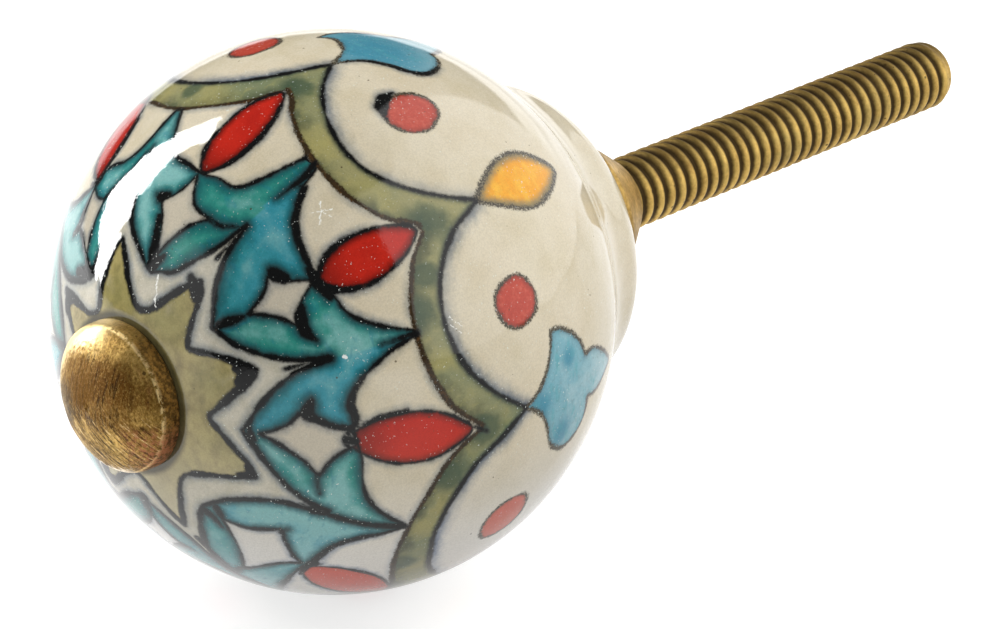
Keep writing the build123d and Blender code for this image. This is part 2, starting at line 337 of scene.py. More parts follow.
def smooth(points, steps=4, closed=False):
    """A flowing line through the points of a stroke."""
    p = np.array(points, float)
    before = p[-1] if closed else 2 * p[0] - p[1]
    after = [p[0], p[1]] if closed else [2 * p[-1] - p[-2]]
    p = np.vstack([before, p, *after])
    line = []
    for a, b, c, d in zip(p[:-3], p[1:-2], p[2:-1], p[3:]):
        for s in range(steps):
            u = s / steps
            line.append(
                0.5 * (2 * b + (c - a) * u + (2 * a - 5 * b + 4 * c - d) * u * u
                       + (3 * b - a - 3 * c + d) * u**3)
            )
    line.append(p[-2])
    return np.array(line)


def wrapped(angle):
    """An angle brought between -180 and 180 degrees."""
    return (angle + 180) % 360 - 180


def on_ball(azimuth, polar, centre, radius):
    """The place on the ball, in metres, of a point of the pattern."""
    a, t, turn = math.radians(azimuth + PATTERN_START), math.radians(polar), math.radians(PATTERN_TURN)
    lean = Matrix.Rotation(math.radians(PATTERN_LEAN), 3, Vector(PATTERN_LEAN_AXIS))
    across, up, ahead = lean @ Vector((math.sin(t) * math.sin(a), math.sin(t) * math.cos(a), math.cos(t)))
    way = Vector((across * math.cos(turn) - up * math.sin(turn), -ahead,
                  across * math.sin(turn) + up * math.cos(turn)))
    return Vector(centre) + way * radius


class Painting:
    """Measures how far each point of the ball lies from what the brush drew, in millimetres."""

    # How far from an edge its distance is still measured, and how far off the ball's surface a vertex may lie
    FAR = 1.6
    LOOSE = 0.2

    def __init__(self, points, centre, radius):
        """points are the mesh's vertices, in metres."""
        offset = (points - np.array(centre)) / MM
        length = np.linalg.norm(offset, axis=1)
        self.degree = radius / MM * math.radians(1)
        self.on_ball = (np.abs(length - radius / MM) < self.LOOSE) & (offset[:, 1] < length * 0.6)
        n = offset / length[:, None]
        turn = math.radians(PATTERN_TURN)
        across = n[:, 0] * math.cos(turn) + n[:, 2] * math.sin(turn)
        up = n[:, 2] * math.cos(turn) - n[:, 0] * math.sin(turn)
        lean = Matrix.Rotation(math.radians(-PATTERN_LEAN), 3, Vector(PATTERN_LEAN_AXIS))
        about = np.stack([across, up, -n[:, 1]], axis=1) @ np.array(lean).T
        self.polar = np.degrees(np.arccos(np.clip(about[:, 2], -1, 1)))
        self.azimuth = np.degrees(np.arctan2(about[:, 0], about[:, 1])) - PATTERN_START
        self.narrow = np.sin(np.radians(self.polar))
        self.count = len(points)
        self.marks = np.full(self.count, self.FAR)

    def near(self, line):
        """The points that a line can reach, and their azimuths from the line's middle."""
        margin = self.FAR / self.degree
        low, high = line.min(0), line.max(0)
        middle = (low[0] + high[0]) / 2
        away = wrapped(self.azimuth - middle)
        half = (high[0] - low[0]) / 2 + margin / np.maximum(self.narrow, 0.15)
        beside = (self.polar > low[1] - margin) & (self.polar < high[1] + margin)
        chosen = np.flatnonzero((np.abs(away) < half) & beside & self.on_ball)
        return chosen, away[chosen] + middle

    def distance(self, line, chosen, azimuth, widths=None):
        """How far each chosen point lies from a line, or from its edge where the line has widths."""
        best = np.full(len(chosen), self.FAR)
        polar, narrow = self.polar[chosen], self.narrow[chosen]
        for i, (start, end) in enumerate(zip(line[:-1], line[1:])):
            x, y = (start[0] - azimuth) * narrow, start[1] - polar
            dx, dy = (end[0] - start[0]) * narrow, end[1] - start[1]
            along = np.clip(-(x * dx + y * dy) / (dx * dx + dy * dy + 1e-12), 0, 1)
            away = np.hypot(x + along * dx, y + along * dy) * self.degree
            if widths is not None:
                away = away - (widths[i] + (widths[i + 1] - widths[i]) * along) / 2
            best = np.minimum(best, away)
        return best

    def stroke(self, widths, points):
        """Inks a loose mark. widths run from its start to its end."""
        line = smooth(points)
        width = np.interp(np.linspace(0, len(widths) - 1, len(line)), range(len(widths)), widths)
        chosen, azimuth = self.near(line)
        self.marks[chosen] = np.minimum(self.marks[chosen], self.distance(line, chosen, azimuth, width))

    def patches(self, places):
        """Soft patches, 1 in the middle of each."""
        found = np.zeros(self.count)
        for azimuth, polar, reach in places:
            away = np.hypot(wrapped(self.azimuth - azimuth) * self.narrow, self.polar - polar) / reach
            found = np.maximum(found, np.exp(-2 * away**2))
        return found

    def shape(self, sides, closed=False):
        """How deep each point lies inside a closed outline, less than 0 outside."""
        line = smooth(sides[0], closed=True) if closed else np.vstack([smooth(s) for s in sides])
        chosen, azimuth = self.near(line)
        depth = self.distance(line, chosen, azimuth)
        polar = self.polar[chosen]
        inside = np.zeros(len(chosen), bool)
        for start, end in zip(line, np.roll(line, -1, axis=0)):
            crosses = (start[1] > polar) != (end[1] > polar)
            run = (end[0] - start[0]) * (polar - start[1]) / (end[1] - start[1] + 1e-12) + start[0]
            inside ^= crosses & (azimuth < run)
        found = np.full(self.count, -self.FAR)
        found[chosen] = np.where(inside, depth, -depth)
        return found

    def ring(self, strokes):
        """How far each point lies past a wavy ring round the pole, less than 0 inside it."""
        lines = [smooth(s) for s in strokes]
        knots = np.vstack(lines)
        knots = knots[np.argsort(knots[:, 0], kind="stable")]
        start = knots[0, 0]
        at = (self.azimuth - start) % 360 + start
        around = np.vstack([knots, knots[:1] + [[360, 0]]])
        past = self.polar > np.interp(at, around[:, 0], around[:, 1])
        away = np.full(self.count, self.FAR)
        for line in lines:
            chosen, azimuth = self.near(line)
            away[chosen] = np.minimum(away[chosen], self.distance(line, chosen, azimuth))
        return np.where(past, away, -away)


def painted_fields(mesh, centre, radius):
    """Writes the painted pattern to the mesh: how far each vertex lies inside each painted edge."""
    points = np.empty(len(mesh.vertices) * 3)
    mesh.vertices.foreach_get("co", points)
    work = Painting(points.reshape(-1, 3), centre, radius)

    def whole(strokes, plain, places=PLAIN_PETALS):
        """The drawn strokes, and the plain one repeated round the far side."""
        return strokes + [spread(plain, *place) for place in places]

    windows = list(WINDOWS) + [[shifted(side, middle) for side in WINDOW_PLAIN] for middle, _ in PLAIN_PETALS]
    petals = list(PETALS) + [shifted(PETAL_PLAIN, middle) for middle, _ in PLAIN_PETALS]
    corners = 12
    uneven = 0.05
    dots = [
        [(a + half_width * math.sin(s * math.tau / corners) * (1 + uneven * math.sin(s * 2.1 + a)),
          t + half_height * math.cos(s * math.tau / corners)) for s in range(corners)]
        for a, t, half_width, half_height in DOTS
    ]
    tulips = [[shifted(side, turn) for side in tulip] for tulip, turn in TULIP_TURNS]
    for widths, points in BRUSH_MARKS:
        work.stroke(widths, points)
    for middle, _ in PLAIN_PETALS:
        for widths, points in BRUSH_MARKS_PLAIN:
            work.stroke(widths, shifted(points, middle))

    start = LEAF_STARTS[0]
    at = (work.azimuth - start) % 360 + start
    tones = np.array(LEAF_TONES)[np.searchsorted(LEAF_STARTS, at, side="right") - 1]
    fields = {
        "past_star": work.ring(whole(STAR_EDGE, STAR_EDGE_PLAIN)),
        "past_arch": work.ring(whole(ARCH_EDGE, ARCH_EDGE_PLAIN)),
        "past_foot": work.ring(whole(LEAF_FOOT, LEAF_FOOT_PLAIN)),
        "past_scallop": work.ring(whole(SCALLOP_FRONT, SCALLOP_FRONT_PLAIN, PLAIN_SCALLOPS)),
        "past_rim": work.ring(whole(SCALLOP_REAR, SCALLOP_REAR_PLAIN, PLAIN_SCALLOPS)),
        "in_window": np.maximum.reduce([work.shape(sides) for sides in windows]),
        "in_petal": np.maximum.reduce([work.shape([points], closed=True) for points in petals]),
        "in_dot": np.maximum.reduce([work.shape([points], closed=True) for points in dots]),
        "in_tulip": np.maximum.reduce([work.shape(sides) for sides in tulips]),
        "in_bud": np.maximum.reduce([work.shape([shifted(BUD, a)], closed=True) for a in BUD_AZIMUTHS]),
        "marks": work.marks,
        "green": work.patches(GREEN_PATCHES),
        "yellow": work.patches(YELLOW_PATCHES),
        "deep": work.patches(DEEP_PATCHES),
        "leaf_hue": tones[:, 0],
        "leaf_light": tones[:, 1],
        "polar": work.polar / 100,
    }
    bare = ~work.on_ball | (work.polar > PAINT_END)
    for name, values in fields.items():
        if name.startswith("in_"):
            values[bare] = -work.FAR
        elif name.startswith("past_") or name == "marks":
            values[bare] = work.FAR
        layer = mesh.attributes.new(name, "FLOAT", "POINT")
        layer.data.foreach_set("value", values.astype(np.float32))


# Mesh helpers


def arc(centre_r, centre_y, radius, start, end, steps):
    """Points of an arc in a half section. Angles are degrees from outwards towards +Y."""
    angles = np.radians(np.linspace(start, end, steps + 1))
    return [(centre_r + radius * math.cos(a), centre_y + radius * math.sin(a)) for a in angles]


def turned(name, section, turns, closed=False, shape=None):
    """A mesh turned about the Y axis from a half section of (radius, y) points.

    shape(radius, y, angle) may move each ring's points in or out, and returns their radius and y.
    """
    rings = np.array(section)
    angle = np.linspace(0, math.tau, turns, endpoint=False)
    radius = np.repeat(rings[:, :1], turns, axis=1)
    y = np.repeat(rings[:, 1:], turns, axis=1)
    angles = np.repeat(angle[None, :], len(rings), axis=0)
    if shape is not None:
        radius, y = shape(radius, y, angles)
    points = np.stack([radius * np.sin(angles), y, radius * np.cos(angles)], axis=-1).reshape(-1, 3)
    rows = len(rings) if closed else len(rings) - 1
    i = np.arange(rows)[:, None]
    j = np.arange(turns)[None, :]
    here, there = i * turns, (i + 1) % len(rings) * turns
    on = (j + 1) % turns
    faces = np.stack([here + j, here + on, there + on, there + j], axis=-1).reshape(-1, 4)
    mesh = bpy.data.meshes.new(name)
    mesh.from_pydata(points.tolist(), [], faces.tolist())
    work = bmesh.new()
    work.from_mesh(mesh)
    bmesh.ops.remove_doubles(work, verts=work.verts, dist=1e-8)
    bmesh.ops.recalc_face_normals(work, faces=work.faces)
    work.to_mesh(mesh)
    work.free()
    mesh.update()
    mesh.shade_smooth()
    mesh.set_sharp_from_angle(angle=math.radians(38))
    return mesh


def place(name, mesh, material, node, slot_name):
    """Adds a finished piece that stands for its CAD node."""
    mesh.materials.append(material)
    piece = bpy.data.objects.new(name, mesh)
    bpy.context.scene.collection.objects.link(piece)
    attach(piece, "root")
    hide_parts(node)


def value_layer(mesh, name, measure):
    """Writes measure(radius, y, angle) to each vertex."""
    points = np.empty(len(mesh.vertices) * 3)
    mesh.vertices.foreach_get("co", points)
    points = points.reshape(-1, 3)
    radius = np.hypot(points[:, 0], points[:, 2])
    values = measure(radius, points[:, 1], np.arctan2(points[:, 0], points[:, 2]))
    layer = mesh.attributes.new(name, "FLOAT", "POINT")
    layer.data.foreach_set("value", values.astype(np.float32))


# Node helpers


def paint(red, green, blue):
    """A screen colour, 0 to 255, as the light values that nodes and properties take."""
    levels = (red / 255, green / 255, blue / 255)
    return tuple(((c + 0.055) / 1.055) ** 2.4 if c > 0.04 else c / 12.92 for c in levels)


class Board:
    """Adds nodes to one tree and joins them."""

    def __init__(self, tree):
        self.tree = tree

    def add(self, kind, inputs=None, **settings):
        """A node with its settings, and its inputs joined or set."""
        node = self.tree.nodes.new(kind)
        node.location = (len(self.tree.nodes) % 12 * 190 - 1200, -(len(self.tree.nodes) // 12) * 260)
        for name, value in settings.items():
            setattr(node, name, value)
        for name, value in (inputs or {}).items():
            self.put(node.inputs[name], value)
        return node

    def put(self, socket, value):
        """Joins a socket to another, or sets its value."""
        if isinstance(value, bpy.types.NodeSocket):
            self.tree.links.new(value, socket)
        elif hasattr(socket.default_value, "__len__") and len(socket.default_value) == 4 and len(value) == 3:
            socket.default_value = (*value, 1)
        else:
            socket.default_value = value

    def math(self, operation, a, b=None, c=None, clamp=False):
        """The result of one sum."""
        node = self.add("ShaderNodeMath", operation=operation, use_clamp=clamp)
        for socket, value in zip(node.inputs, (a, b, c)):
            if value is not None:
                self.put(socket, value)
        return node.outputs[0]

    def step(self, value, low, high, start=0.0, end=1.0):
        """A soft step of the value from low to high."""
        node = self.add("ShaderNodeMapRange", interpolation_type="SMOOTHSTEP")
        for socket, number in zip(node.inputs, (value, low, high, start, end)):
            self.put(socket, number)
        return node.outputs[0]

    def mix(self, share, first, second, blend="MIX"):
        """One colour laid over another."""
        node = self.add("ShaderNodeMix", data_type="RGBA", blend_type=blend)
        for socket, value in zip((node.inputs[0], node.inputs[6], node.inputs[7]), (share, first, second)):
            self.put(socket, value)
        return node.outputs[2]

    def toned(self, base, measure, low, high, amount, colour):
        """The base, with some of another colour over it as the measure goes from low to high."""
        return self.mix(self.step(measure, low, high, 0.0, amount), base, colour)

    def least(self, *values):
        """The least of some values."""
        found = values[0]
        for value in values[1:]:
            found = self.math("MINIMUM", found, value)
        return found

    def opposite(self, value):
        """The value with its sign changed."""
        return self.math("MULTIPLY", value, -1.0)

    def vector(self, operation, *values, scale=None):
        """The result of one sum with vectors."""
        node = self.add("ShaderNodeVectorMath", operation=operation)
        for socket, value in zip(node.inputs, values):
            self.put(socket, value)
        if scale is not None:
            self.put(node.inputs["Scale"], scale)
        return node.outputs["Value" if operation in ("DOT_PRODUCT", "LENGTH") else "Vector"]

    def noise(self, where, scale, detail=3.0, roughness=0.55, distortion=0.0):
        """Cloudy noise, about 0.5."""
        node = self.add("ShaderNodeTexNoise", {
            "Vector": where, "Scale": scale, "Detail": detail, "Roughness": roughness,
            "Distortion": distortion,
        })
        return node.outputs["Fac"]

    def swayed(self, value, noise, amount):
        """The value, raised and lowered by a noise that runs about 0.5."""
        return self.math("MULTIPLY_ADD", self.math("SUBTRACT", noise, 0.5), amount, value)

    def spots(self, where, scale, size, share):
        """Small round spots. share is how many of the cells have one."""
        cells = self.add("ShaderNodeTexVoronoi", {"Vector": where, "Scale": scale, "Randomness": 1.0})
        chosen = self.add("ShaderNodeSeparateColor", {"Color": cells.outputs["Color"]})
        kept = self.math("LESS_THAN", chosen.outputs[0], share)
        big = self.math("MULTIPLY_ADD", chosen.outputs[1], size * 0.8, size * 0.4)
        inside = self.math("SUBTRACT", big, cells.outputs["Distance"])
        return self.math("MULTIPLY", self.step(inside, 0.0, size * 0.35), kept)

    def layer(self, name):
        """A value that the mesh carries."""
        return self.add("ShaderNodeAttribute", attribute_name=name, attribute_type="GEOMETRY").outputs["Fac"]

    def here(self):
        """The place in the object's own frame, in metres."""
        return self.add("ShaderNodeTexCoord").outputs["Object"]

    def stretched(self, where, scale):
        """The place with its axes scaled."""
        return self.add("ShaderNodeMapping", {"Vector": where, "Scale": scale}).outputs[0]


def new_material(name):
    """A material with an empty board and its surface shader."""
    material = bpy.data.materials.new(name)
    material.use_nodes = True
    material.node_tree.nodes.clear()
    board = Board(material.node_tree)
    surface = board.add("ShaderNodeBsdfPrincipled")
    output = board.add("ShaderNodeOutputMaterial")
    material.node_tree.links.new(surface.outputs[0], output.inputs[0])
    return material, board, surface


def new_group(name, inputs, outputs):
    """A node group with named sockets, made once."""
    group = bpy.data.node_groups.get(name)
    if group is not None:
        return group, None, None, None
    group = bpy.data.node_groups.new(name, "ShaderNodeTree")
    for label, kind, default in inputs:
        socket = group.interface.new_socket(label, in_out="INPUT", socket_type=kind)
        socket.default_value = default
    for label, kind in outputs:
        group.interface.new_socket(label, in_out="OUTPUT", socket_type=kind)
    board = Board(group)
    given = board.add("NodeGroupInput")
    result = board.add("NodeGroupOutput")
    return group, board, given, result


def tarnish_group():
    """Aged brass: bright rubbed metal, warm tarnish and dark spots."""
    group, board, given, result = new_group(
        "Brass Tarnish",
        [
            ("Place", "NodeSocketVector", (0, 0, 0)),
            ("Bright", "NodeSocketColor", (0.6, 0.4, 0.15, 1)),
            ("Tarnish", "NodeSocketColor", (0.2, 0.12, 0.04, 1)),
            ("Amount", "NodeSocketFloat", 0.5),
            ("Rubbed", "NodeSocketFloat", 0.0),
        ],
        [("Color", "NodeSocketColor"), ("Roughness", "NodeSocketFloat"), ("Tarnished", "NodeSocketFloat")],
    )
    if board is None:
        return group
    place_in = given.outputs["Place"]
    clouds = board.noise(place_in, 420.0, 5.0, 0.62)
    grain = board.noise(place_in, 4200.0, 3.0, 0.6)
    level = board.math("MULTIPLY_ADD", given.outputs["Amount"], 0.8, board.math("SUBTRACT", clouds, 0.55))
    level = board.math("SUBTRACT", level, given.outputs["Rubbed"])
    level = board.swayed(level, grain, 0.5)
    tarnished = board.step(level, -0.1, 0.5)
    colour = board.mix(tarnished, given.outputs["Bright"], given.outputs["Tarnish"])
    green = board.noise(place_in, 950.0, 2.0, 0.5)
    colour = board.toned(colour, green, 0.55, 0.8, 0.35, paint(128, 118, 62))
    copper = board.noise(board.stretched(place_in, (1.0, 1.3, 0.8)), 700.0, 2.0, 0.5)
    colour = board.toned(colour, copper, 0.6, 0.82, 0.4, paint(176, 116, 78))
    spots = board.spots(place_in, 1900.0, 0.22, 0.25)
    colour = board.mix(board.math("MULTIPLY", spots, 0.75), colour, paint(52, 38, 22))
    rough = board.math("MULTIPLY_ADD", tarnished, 0.16, 0.26)
    rough = board.math("MULTIPLY_ADD", grain, 0.12, rough)
    board.put(result.inputs["Color"], colour)
    board.put(result.inputs["Roughness"], rough)
    board.put(result.inputs["Tarnished"], tarnished)
    return group


def scratch_group():
    """Fine scratches that run one way, with crossings."""
    group, board, given, result = new_group(
        "Fine Scratches",
        [("Place", "NodeSocketVector", (0, 0, 0)), ("Strength", "NodeSocketFloat", 1.0)],
        [("Height", "NodeSocketFloat"), ("Scratched", "NodeSocketFloat")],
    )
    if board is None:
        return group
    place_in = given.outputs["Place"]
    main = board.noise(board.stretched(place_in, (9.0, 1.0, 0.55)), 620.0, 4.0, 0.7)
    cross = board.noise(board.stretched(place_in, (1.2, 1.0, 11.0)), 260.0, 3.0, 0.7)
    deep = board.step(main, 0.55, 0.75)
    light = board.step(cross, 0.64, 0.78, 0.0, 0.5)
    marks = board.math("MAXIMUM", deep, light)
    board.put(result.inputs["Scratched"], marks)
    height = board.math("MULTIPLY_ADD", marks, -0.6, main)
    board.put(result.inputs["Height"], board.math("MULTIPLY", height, given.outputs["Strength"]))
    return group


def nick_group():
    """A fine straight nick between two places."""
    group, board, given, result = new_group(
        "Fine Nick",
        [
            ("Place", "NodeSocketVector", (0, 0, 0)),
            ("Start", "NodeSocketVector", (0, 0, 0)),
            ("End", "NodeSocketVector", (0, 0, 0)),
            ("Half Width", "NodeSocketFloat", 0.00004),
        ],
        [("Inside", "NodeSocketFloat")],
    )
    if board is None:
        return group
    start = given.outputs["Start"]
    line = board.vector("SUBTRACT", given.outputs["End"], start)
    offset = board.vector("SUBTRACT", given.outputs["Place"], start)
    run, whole = board.vector("DOT_PRODUCT", offset, line), board.vector("DOT_PRODUCT", line, line)
    along = board.math("DIVIDE", run, whole, clamp=True)
    away = board.vector("LENGTH", board.vector("SUBTRACT", offset, board.vector("SCALE", line, scale=along)))
    away = board.math("SUBTRACT", away, given.outputs["Half Width"])
    board.put(result.inputs["Inside"], board.step(away, 0.02 * MM, -0.02 * MM))
    return group


def use_group(board, group, inputs):
    """Places a node group."""
    node = board.add("ShaderNodeGroup", node_tree=group)
    for name, value in inputs.items():
        board.put(node.inputs[name], value)
    return node


# Settings


def length(name, default, description):
    """A size in metres."""
    return bpy.props.FloatProperty(
        name=name, default=default, description=description, min=0.0, precision=5,
        subtype="DISTANCE", unit="LENGTH",
    )


def shade(name, rgb, description):
    """A colour, given as a screen colour."""
    return bpy.props.FloatVectorProperty(
        name=name, default=paint(*rgb), description=description, subtype="COLOR", size=3, min=0.0, max=1.0
    )


def share(name, default, description):
    """A part of the whole, from 0 to 1."""
    return bpy.props.FloatProperty(
        name=name, default=default, description=description, subtype="FACTOR", min=0.0, max=1.0
    )


def number(name, default, description, unit="NONE"):
    """A strength of light, or another number from 0 up."""
    return bpy.props.FloatProperty(name=name, default=default, description=description, min=0.0, unit=unit)


class KnobSizes(bpy.types.PropertyGroup):
    """Sizes of the knob's pieces."""

    ball_diameter: length("Ball", rounded(CERAMIC_HIGH.x - CERAMIC_LOW.x), "Diameter of the ceramic ball")
    neck_diameter: length("Neck", 20.8 * MM, "Diameter of the neck behind the ball")
    neck_length: length("Neck length", 4.55 * MM, "From the rear face to where the neck would meet the ball")
    neck_blend: length("Neck blend", 8.0 * MM, "Radius of the hollow between ball and neck")
    rear_edge: length("Rear edge", 3.6 * MM, "Radius of the rounded rear edge")
    seat_diameter: length("Seat", 9.5 * MM, "Diameter of the flat seat under the cap")
    bore_diameter: length("Bore", 5.76 * MM, "Diameter of the hole through the ceramic")
    recess_diameter: length("Recess", 11.5 * MM, "Diameter of the recess for the nut")
    recess_depth: length("Recess depth", 1.5 * MM, "Depth of the recess for the nut")
    cap_side: length("Cap side", 1.2 * MM, "Height of the cap's side")
    cap_edge: length("Cap edge", 1.1 * MM, "Radius of the cap's rounded edge")
    nut_body: length("Nut body", 3.0 * MM, "How far the nut's round body stands behind the ceramic")
    nut_tip_wall: length("Nut tip wall", 0.35 * MM, "Wall of the nut at its narrow end")
    nut_length: length("Nut length", 6.9 * MM, "How far the worn nut stands behind the ceramic")
    thread_pitch: length("Thread pitch", 25.4 / 24 * MM, "Distance from one thread to the next")
    thread_depth: length("Thread depth", 0.22 * MM, "Depth of the worn thread")
    shank_diameter: length("Shank", 4.07 * MM, "Diameter of the stud inside the knob")


class KnobPaints(bpy.types.PropertyGroup):
    """Colours painted on the ceramic."""

    cream: shade("Cream", (213, 203, 179), "Bare glazed ground")
    cream_shade: shade("Cream shade", (203, 191, 162), "Darker clouds in the ground")
    pale_band: shade("Pale band", (206, 200, 182), "Grey-white band round the star")
    ink: shade("Outline", (16, 17, 17), "Brushed outline")
    ink_thin: shade("Thin outline", (40, 40, 34), "Where the outline is thin")
    ink_brown: shade("Brown outline", (52, 40, 24), "Outline of the scallops")
    ink_grey: shade("Grey outline", (66, 60, 48), "Outline of the dots, tulips and buds")
    star: shade("Star", (176, 161, 104), "Star under the cap")
    olive: shade("Olive", (152, 148, 104), "Scallops")
    olive_dark: shade("Olive shade", (56, 66, 48), "Where the olive is thick")
    leaf_green: shade("Leaf green", (50, 139, 126), "Greener leaves")
    leaf_blue: shade("Leaf blue", (56, 144, 162), "Bluer leaves")
    leaf_pale: shade("Leaf thin", (134, 186, 182), "Where the leaf paint is thin")
    leaf_deep: shade("Leaf thick", (18, 80, 86), "Where the leaf paint is thick")
    petal: shade("Petal", (190, 40, 26), "Petals")
    dot: shade("Dot", (184, 66, 48), "Dots in the scallops")
    tulip: shade("Tulip", (122, 172, 184), "Tulips behind the scallops")
    tulip_deep: shade("Tulip deep", (50, 132, 156), "Thick blue of the tulips")
    bud: shade("Bud", (232, 158, 18), "Buds behind the scallops")
    wobble: share("Brush wobble", 0.5, "How unsteady the edges of the paint are")


class KnobBrass(bpy.types.PropertyGroup):
    """Colours and wear of the brass."""

    bright: shade("Bright brass", (224, 186, 106), "Rubbed metal")
    tarnish: shade("Tarnish", (118, 88, 38), "Old metal in the hollows")
    # The colour that the stud darkens to toward the thread's root
    root: shade("Thread root", (74, 58, 32), "Dirt at the bottom of the thread")
    amount: share("Tarnish amount", 0.45, "How much of the metal has darkened")


class KnobStage(bpy.types.PropertyGroup):
    """Floor, lamps and camera."""

    floor: shade("Floor", (192, 192, 192), "Colour of the floor")
    key_watts: number("Key", 2.25, "Large lamp behind on the right, in watts", unit="POWER")
    fill_watts: number("Fill", 1.1, "Soft lamp on the right of the camera, in watts", unit="POWER")
    strip_level: number("Strip", 18.0, "Level of the narrow panel on the left")
    ambient: number("Ambient", 0.3, "Light from everywhere")
    right_wall: number("Right wall", 1.2, "Level of the wall on the right")
    left_wall: number("Left wall", 0.9, "Level of the wall in front")
    back_wall: number("Back wall", 1.5, "Level of the wall behind")
    lens: number("Lens", 142.875, "Lens in millimetres", unit="CAMERA")


# Materials


class Brushwork:
    """What the glaze's paints share: the place on the ball, the noises and the brush's unsteady hand."""

    def __init__(self, board, wobble):
        self.board = board
        self.here = board.here()
        parts = board.add("ShaderNodeSeparateXYZ", {"Vector": self.here})
        self.across, self.ahead, self.height = parts.outputs
        self.slow = board.noise(self.here, 140.0, 2.0)
        self.cloud = board.noise(self.here, 430.0, 3.0, 0.6)
        self.brush = board.noise(board.stretched(self.here, (1.0, 1.4, 0.8)), 1100.0, 3.0, 0.6)
        self.fine = board.noise(self.here, 3400.0, 2.0, 0.65)
        self.grit = board.noise(self.here, 9500.0, 1.0, 0.7)

        # How far the brush strays from an edge, and how grainy its line is, in millimetres
        waver = board.swayed(0.0, self.brush, 0.5 * wobble)
        self.waver = board.swayed(waver, self.fine, 0.3 * wobble)
        self.grain = board.swayed(0.0, self.grit, 0.5 * wobble)

    def strayed(self, depth):
        """A painted depth, with the brush's straying."""
        return self.board.math("ADD", depth, self.waver)

    def inside(self, depth):
        """A mask of what lies inside a painted edge."""
        soft = 0.09
        return self.board.step(self.strayed(depth), -soft, soft)

    def line(self, edge, width):
        """How far outside an edge's outline a point lies. The line swells and thins."""
        half = self.board.swayed(width * 0.5, self.cloud, width * 1.1)
        return self.board.math("SUBTRACT", self.board.math("ABSOLUTE", edge), half)


def ground_paint(work, paints, window):
    """Bare ground: warm cream with slow clouds, duller in the windows, and whiter low down as painted light.
    """
    board = work.board
    colour = board.toned(paints.cream, work.cloud, 0.3, 0.75, 1.0, paints.cream_shade)
    colour = board.toned(colour, work.slow, 0.4, 0.65, 0.3, paint(218, 205, 182))
    colour = board.mix(work.inside(window), colour, paint(199, 190, 170))
    # Painted light: the ground is whiter low down, standing in for light thrown up from the floor
    return board.toned(colour, work.height, -2 * MM, -11 * MM, 0.8, paint(232, 230, 225))


def bled(work, colour, ink, rim):
    """The outline bleeds blue-grey into the ground, widest behind the scallops."""
    board = work.board
    halo = board.math("ADD", ink, board.math("MULTIPLY", work.waver, 1.6))
    halo = board.step(halo, 0.5, -0.05, 0.0, 0.75)
    halo = board.math("MULTIPLY", halo, board.step(work.slow, 0.36, 0.56, 0.35, 1.0))
    colour = board.mix(halo, colour, paint(132, 152, 182), "MULTIPLY")
    wash = board.step(board.math("MULTIPLY_ADD", work.waver, 3.0, rim), 1.15, 0.1, 0.0, 0.9)
    wash = board.math("MULTIPLY", wash, board.step(work.slow, 0.34, 0.54, 0.35, 1.0))
    wash = board.math("MULTIPLY", wash, board.step(rim, -0.1, 0.1))
    return board.mix(wash, colour, paint(176, 188, 210), "MULTIPLY")


def leaf_paint(work, paints, outline):
    """Leaves: pale where the paint is thin, deep where it pools along the outline, and paler low down as
    painted light.
    """
    board = work.board
    tone = board.swayed(board.math("ADD", board.layer("leaf_light"), 0.09), work.cloud, 1.5)
    tone = board.swayed(tone, work.slow, 1.2)
    tone = board.swayed(tone, work.brush, 0.35)
    tone = board.math("ADD", tone, board.step(outline, 0.2, 1.3, -0.16, 0.16))
    hue = board.swayed(board.layer("leaf_hue"), work.slow, 1.0)
    streaks = board.noise(board.stretched(work.here, (1.0, 3.2, 1.0)), 800.0, 2.0, 0.5, 0.6)
    colour = board.toned(paints.leaf_green, hue, 0.1, 0.9, 1.0, paints.leaf_blue)
    colour = board.toned(colour, tone, 0.38, 1.02, 0.9, paints.leaf_pale)
    colour = board.toned(colour, tone, 0.5, 0.0, 0.65, paints.leaf_deep)
    # Painted light: paler blue low down, for light thrown up from the floor
    colour = board.toned(colour, work.height, -5 * MM, -12 * MM, 0.35, paint(140, 200, 214))
    colour = board.toned(colour, streaks, 0.55, 0.72, 0.35, paint(30, 116, 140))
    return board.toned(colour, work.strayed(outline), 0.6, 0.0, 0.85, paints.leaf_deep)


def star_paint(work, paints):
    """Star: olive clouds, with painted light that makes it paler low down."""
    board = work.board
    colour = board.toned(paints.star, work.brush, 0.35, 0.7, 1.0, paint(140, 126, 80))
    colour = board.toned(colour, work.slow, 0.45, 0.65, 0.5, paint(128, 128, 78))
    colour = board.toned(colour, work.cloud, 0.55, 0.75, 0.5, paint(176, 166, 132))
    # Painted light: paler low down, for the light and pale sheen on the lower ball
    return board.toned(colour, work.height, 1 * MM, -7 * MM, 0.7, paint(200, 190, 158))


